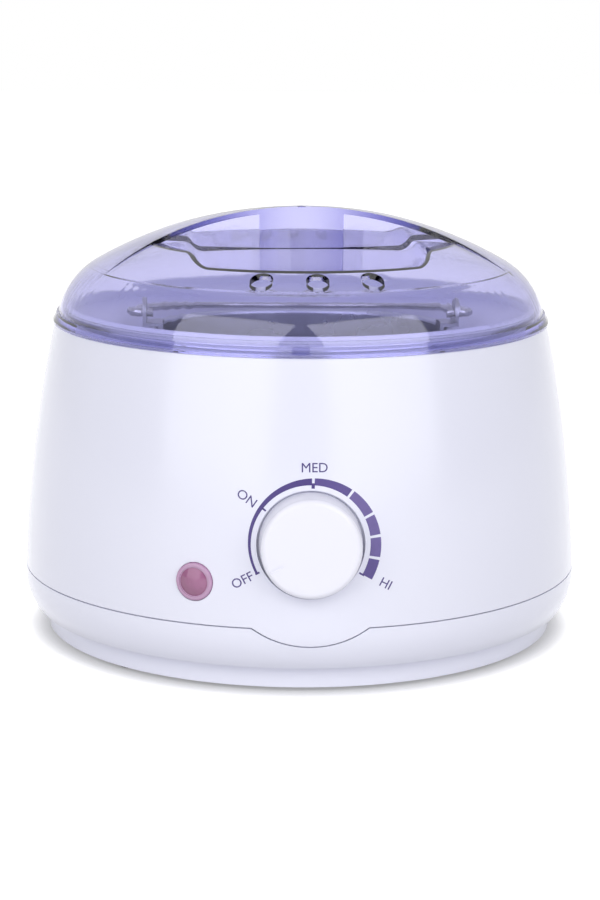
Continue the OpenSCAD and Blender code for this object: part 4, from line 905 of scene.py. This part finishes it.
class WARMER_OT_pot(bpy.types.Operator):
    """Finishes the pot, its ears, rivets and bail"""

    bl_idname = "warmer.pot"
    bl_label = "Pot and bail"

    def execute(self, context):
        f = context.scene.warmer_finish
        # Spun aluminium: fine turning lines round the axis, satin
        dress(turned_metal("aluminium_spun", f.pot, 0.28, line_mm=0.5, strength=0.1), "wax_pot")
        # Cold-headed aluminium: small and bright
        dress(plated_sheet("aluminium_rivet", linear("#cfd0d4"), 0.3), "ear_rivets")
        # Zinc-plated steel: a little darker than the pot, with a cloudy grain
        dress(plated_sheet("steel_zinc_plated", linear("#b9bac0"), 0.32), "pot_ears")
        # Nickel-plated wire: the most polished metal here
        dress(plated_sheet("steel_nickel_plated", linear("#c2c2c6"), 0.16, grain_mm=6), "bail_handle")
        return {"FINISHED"}


class WARMER_OT_knob(bpy.types.Operator):
    """Finishes the knob and makes the lamp's lens"""

    bl_idname = "warmer.knob"
    bl_label = "Knob and lamp"

    def execute(self, context):
        f = context.scene.warmer_finish
        # Gloss ABS: a shade whiter than the housing
        dress(moulded("abs_gloss", f.knob, 0.22, mottle=0.006, peel=0.03, peel_mm=2.0), "knob")
        # Moulded acrylic: the rim lets more light through than the dome
        # The second colour of each is painted shade, which the acrylic darkens to where it is seen edge on
        pink = milky_acrylic("acrylic_pink", f.lens_rim, linear("#c07fb0"), passed=0.3, roughness=0.12)
        magenta = milky_acrylic(
            "acrylic_magenta", f.lens_dome, linear("#7d2f5c"), passed=0.15, roughness=0.06)
        lens = lamp_lens(context.scene.warmer_lamp, pink, magenta)
        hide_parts("indicator_lens")
        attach(lens, "housing")
        return {"FINISHED"}


class WARMER_OT_print(bpy.types.Operator):
    """Prints the heat line, its marks and the words round the knob"""

    bl_idname = "warmer.print"
    bl_label = "Dial print"

    def execute(self, context):
        d = context.scene.warmer_dial
        f = context.scene.warmer_finish
        # Pad-printed ink: violet, darker for the line and the words than for the blocks
        dark = printed_ink("pad_ink_violet", f.ink)
        ends = printed_ink("pad_ink_ends", f.ink_ends)
        pale = printed_ink("pad_ink_band", f.ink_band)
        band_tree = heat_band_tree()
        ink_tree = laid_ink_tree()

        def band(ink, start, end, steps, flat=None, inner=d.inner, thin=d.thin, thick=d.thick):
            """Adds one arc to a flat mesh."""
            piece = grown("flat_band", band_tree, {
                "From": start, "To": end, "Inner": inner, "Axis height": d.height, "Off": d.off,
                "Hot": d.hot, "Thin": thin, "Thick": thick, "Steps": steps, "Finish": ink}, flat)
            mesh = piece.data
            bpy.data.objects.remove(piece)
            return mesh

        def lay(name, flat, ink):
            """Lays a flat mesh on the front of the housing."""
            farthest_back = -60 * MM
            piece = grown(name, ink_tree, {
                "Surface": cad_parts["upper_housing"], "Lift": 0.01 * MM, "Coat": d.ink_height,
                "Finish": ink}, flat)
            if max(vert.co.y for vert in piece.data.vertices) > farthest_back:
                raise RuntimeError(f"{name} falls off the housing")
            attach(piece, "housing")

        line = band(dark, d.off, d.middle + d.gap, 80)
        for setting, inwards, outwards, half_width in MARKS:
            at = getattr(d, setting)
            half = math.radians(half_width)
            reach = (inwards + outwards) * MM
            line = band(dark, at + half, at - half, 3, line, d.inner - inwards * MM, reach, reach)
        lay("heat_line", line, dark)

        stops = [d.middle, *map(math.radians, BLOCK_EDGES), d.hot - d.gap]
        spans = list(zip(stops, stops[1:]))
        outer = (spans[0], spans[-1])
        for name, chosen, ink in (("heat_blocks", spans[1:-1], pale), ("end_blocks", outer, ends)):
            blocks = None
            for start, end in chosen:
                blocks = band(ink, start - d.gap, end + d.gap, 16, blocks)
            lay(name, blocks, ink)

        words = bmesh.new()
        for text, degrees, out, turned in WORDS:
            at = math.radians(degrees)
            word = flat_word(text, d.letter)
            word.transform(
                Matrix.Translation((out * MM * math.cos(at), 0, d.height + out * MM * math.sin(at)))
                @ Matrix.Rotation(-math.radians(turned), 4, "Y") @ Matrix.Rotation(math.pi / 2, 4, "X"))
            words.from_mesh(word)
        bmesh.ops.remove_doubles(words, verts=words.verts, dist=SAME_POINT)
        flat = bpy.data.meshes.new("words")
        words.to_mesh(flat)
        words.free()
        lay("dial_words", flat, dark)
        return {"FINISHED"}


class WARMER_OT_inside(bpy.types.Operator):
    """Finishes the heater, the thermostat, the fixings and the wires, and adds threads and stitches"""

    bl_idname = "warmer.inside"
    bl_label = "Heater and wiring"

    def execute(self, context):
        t = context.scene.warmer_trim
        # Deep-drawn aluminium: drawing lines round the axis, duller than the pot
        dress(turned_metal("aluminium_drawn", linear("#b4b6ba"), 0.38, line_mm=0.8, strength=0.15),
              "heater_bowl")
        # Zinc-plated steel: bright, with a cloudy grain
        zinc = plated_sheet("steel_zinc_bright", linear("#b6b8be"), 0.34)
        dress(zinc, "housing_screws", "bowl_screws", "band_clamp", "band_clamp_screw", "heat_shield",
              "shield_screws", "fuse_clip", "thermostat_plate", "thermostat_screws", "lens_clip",
              "cord_clamp_screws")
        # Stamped brass: warm and a little duller than polished
        dress(plated_sheet("brass_stamped", linear("#c9a860"), 0.3, grain_mm=4),
              "thermal_fuse", "thermostat_tabs", "thermostat_shaft", "terminal_screws")
        # Woven glass fibre: off-white cloth with open threads
        glass = woven_glass("glass_fibre_woven", linear("#ece8dc"))
        dress(glass, "heat_wrap")
        # Blown glass: clear with a faint warm cast
        dress(clear_tinted("neon_glass", linear("#f2dccb"), 2 * MM), "neon_bulb")
        # Moulded silicone: matt brick red
        dress(moulded("silicone_gasket", linear("#b35a4c"), 0.6, mottle=0.05, peel=0.2, peel_mm=0.8,
                      specular=0.3), "bowl_gasket")
        # Mica sheet: mottled straw colour with a dull shine
        dress(moulded("mica_band", linear("#b9a77c"), 0.5, mottle=0.15, peel=0.3, peel_mm=1.5),
              "band_heater")
        # Moulded phenolic: dark brown with a fine mottle
        dress(moulded("phenolic_brown", linear("#5a3f33"), 0.4, mottle=0.1, peel=0.1, peel_mm=0.8),
              "thermostat_case")
        # Extruded PVC and silicone insulation: even colour, half gloss
        for node, name, hex_colour, roughness in (
                ("live_lead", "pvc_brown", "#6b4423", 0.4),
                ("heater_leads", "silicone_white", "#e4dfd2", 0.55),
                ("neutral_lead", "pvc_blue", "#2f55a4", 0.4),
                ("lamp_leads", "pvc_grey", "#5a5a60", 0.4)):
            dress(moulded(name, linear(hex_colour), roughness, mottle=0.04, peel=0.1, peel_mm=0.8), node)

        tree = thread_tree()
        for node, start, core in SCREWS:
            threads = screw_threads(tree, node, start * MM, core * MM, t.thread_pitch, zinc)
            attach(threads, "housing")

        tree = stitch_tree()
        low, high = map(Vector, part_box("heat_wrap"))
        for name, edge, inwards in (("stitches_low", low.z, 2 * MM), ("stitches_high", high.z, -2 * MM)):
            stitches = edge_stitches(tree, name, edge, inwards, t.stitches, glass)
            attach(stitches, "housing")
        return {"FINISHED"}


STEPS = (
    WARMER_OT_studio, WARMER_OT_housing, WARMER_OT_inside, WARMER_OT_pot, WARMER_OT_knob, WARMER_OT_print,
    WARMER_OT_lid,
)


class WARMER_PT_panel(bpy.types.Panel):
    """Lists the settings and the steps that dress the warmer"""

    bl_idname = "WARMER_PT_panel"
    bl_label = "Wax warmer"
    bl_space_type = "VIEW_3D"
    bl_region_type = "UI"
    bl_category = "Wax warmer"

    def draw(self, context):
        for name, group in GROUPS.items():
            box = self.layout.box()
            settings = getattr(context.scene, name)
            for key in group.__annotations__:
                box.prop(settings, key)
        for step in STEPS:
            self.layout.operator(step.bl_idname)


def register():
    for cls in (*GROUPS.values(), *STEPS, WARMER_PT_panel):
        bpy.utils.register_class(cls)
    for name, group in GROUPS.items():
        setattr(bpy.types.Scene, name, bpy.props.PointerProperty(type=group))


def unregister():
    for name in GROUPS:
        delattr(bpy.types.Scene, name)
    for cls in (WARMER_PT_panel, *reversed(STEPS), *reversed(GROUPS.values())):
        bpy.utils.unregister_class(cls)


def main():
    register()
    for step in STEPS:
        getattr(bpy.ops.warmer, step.bl_idname.split(".")[1])()


if __name__ == "__main__":
    main()
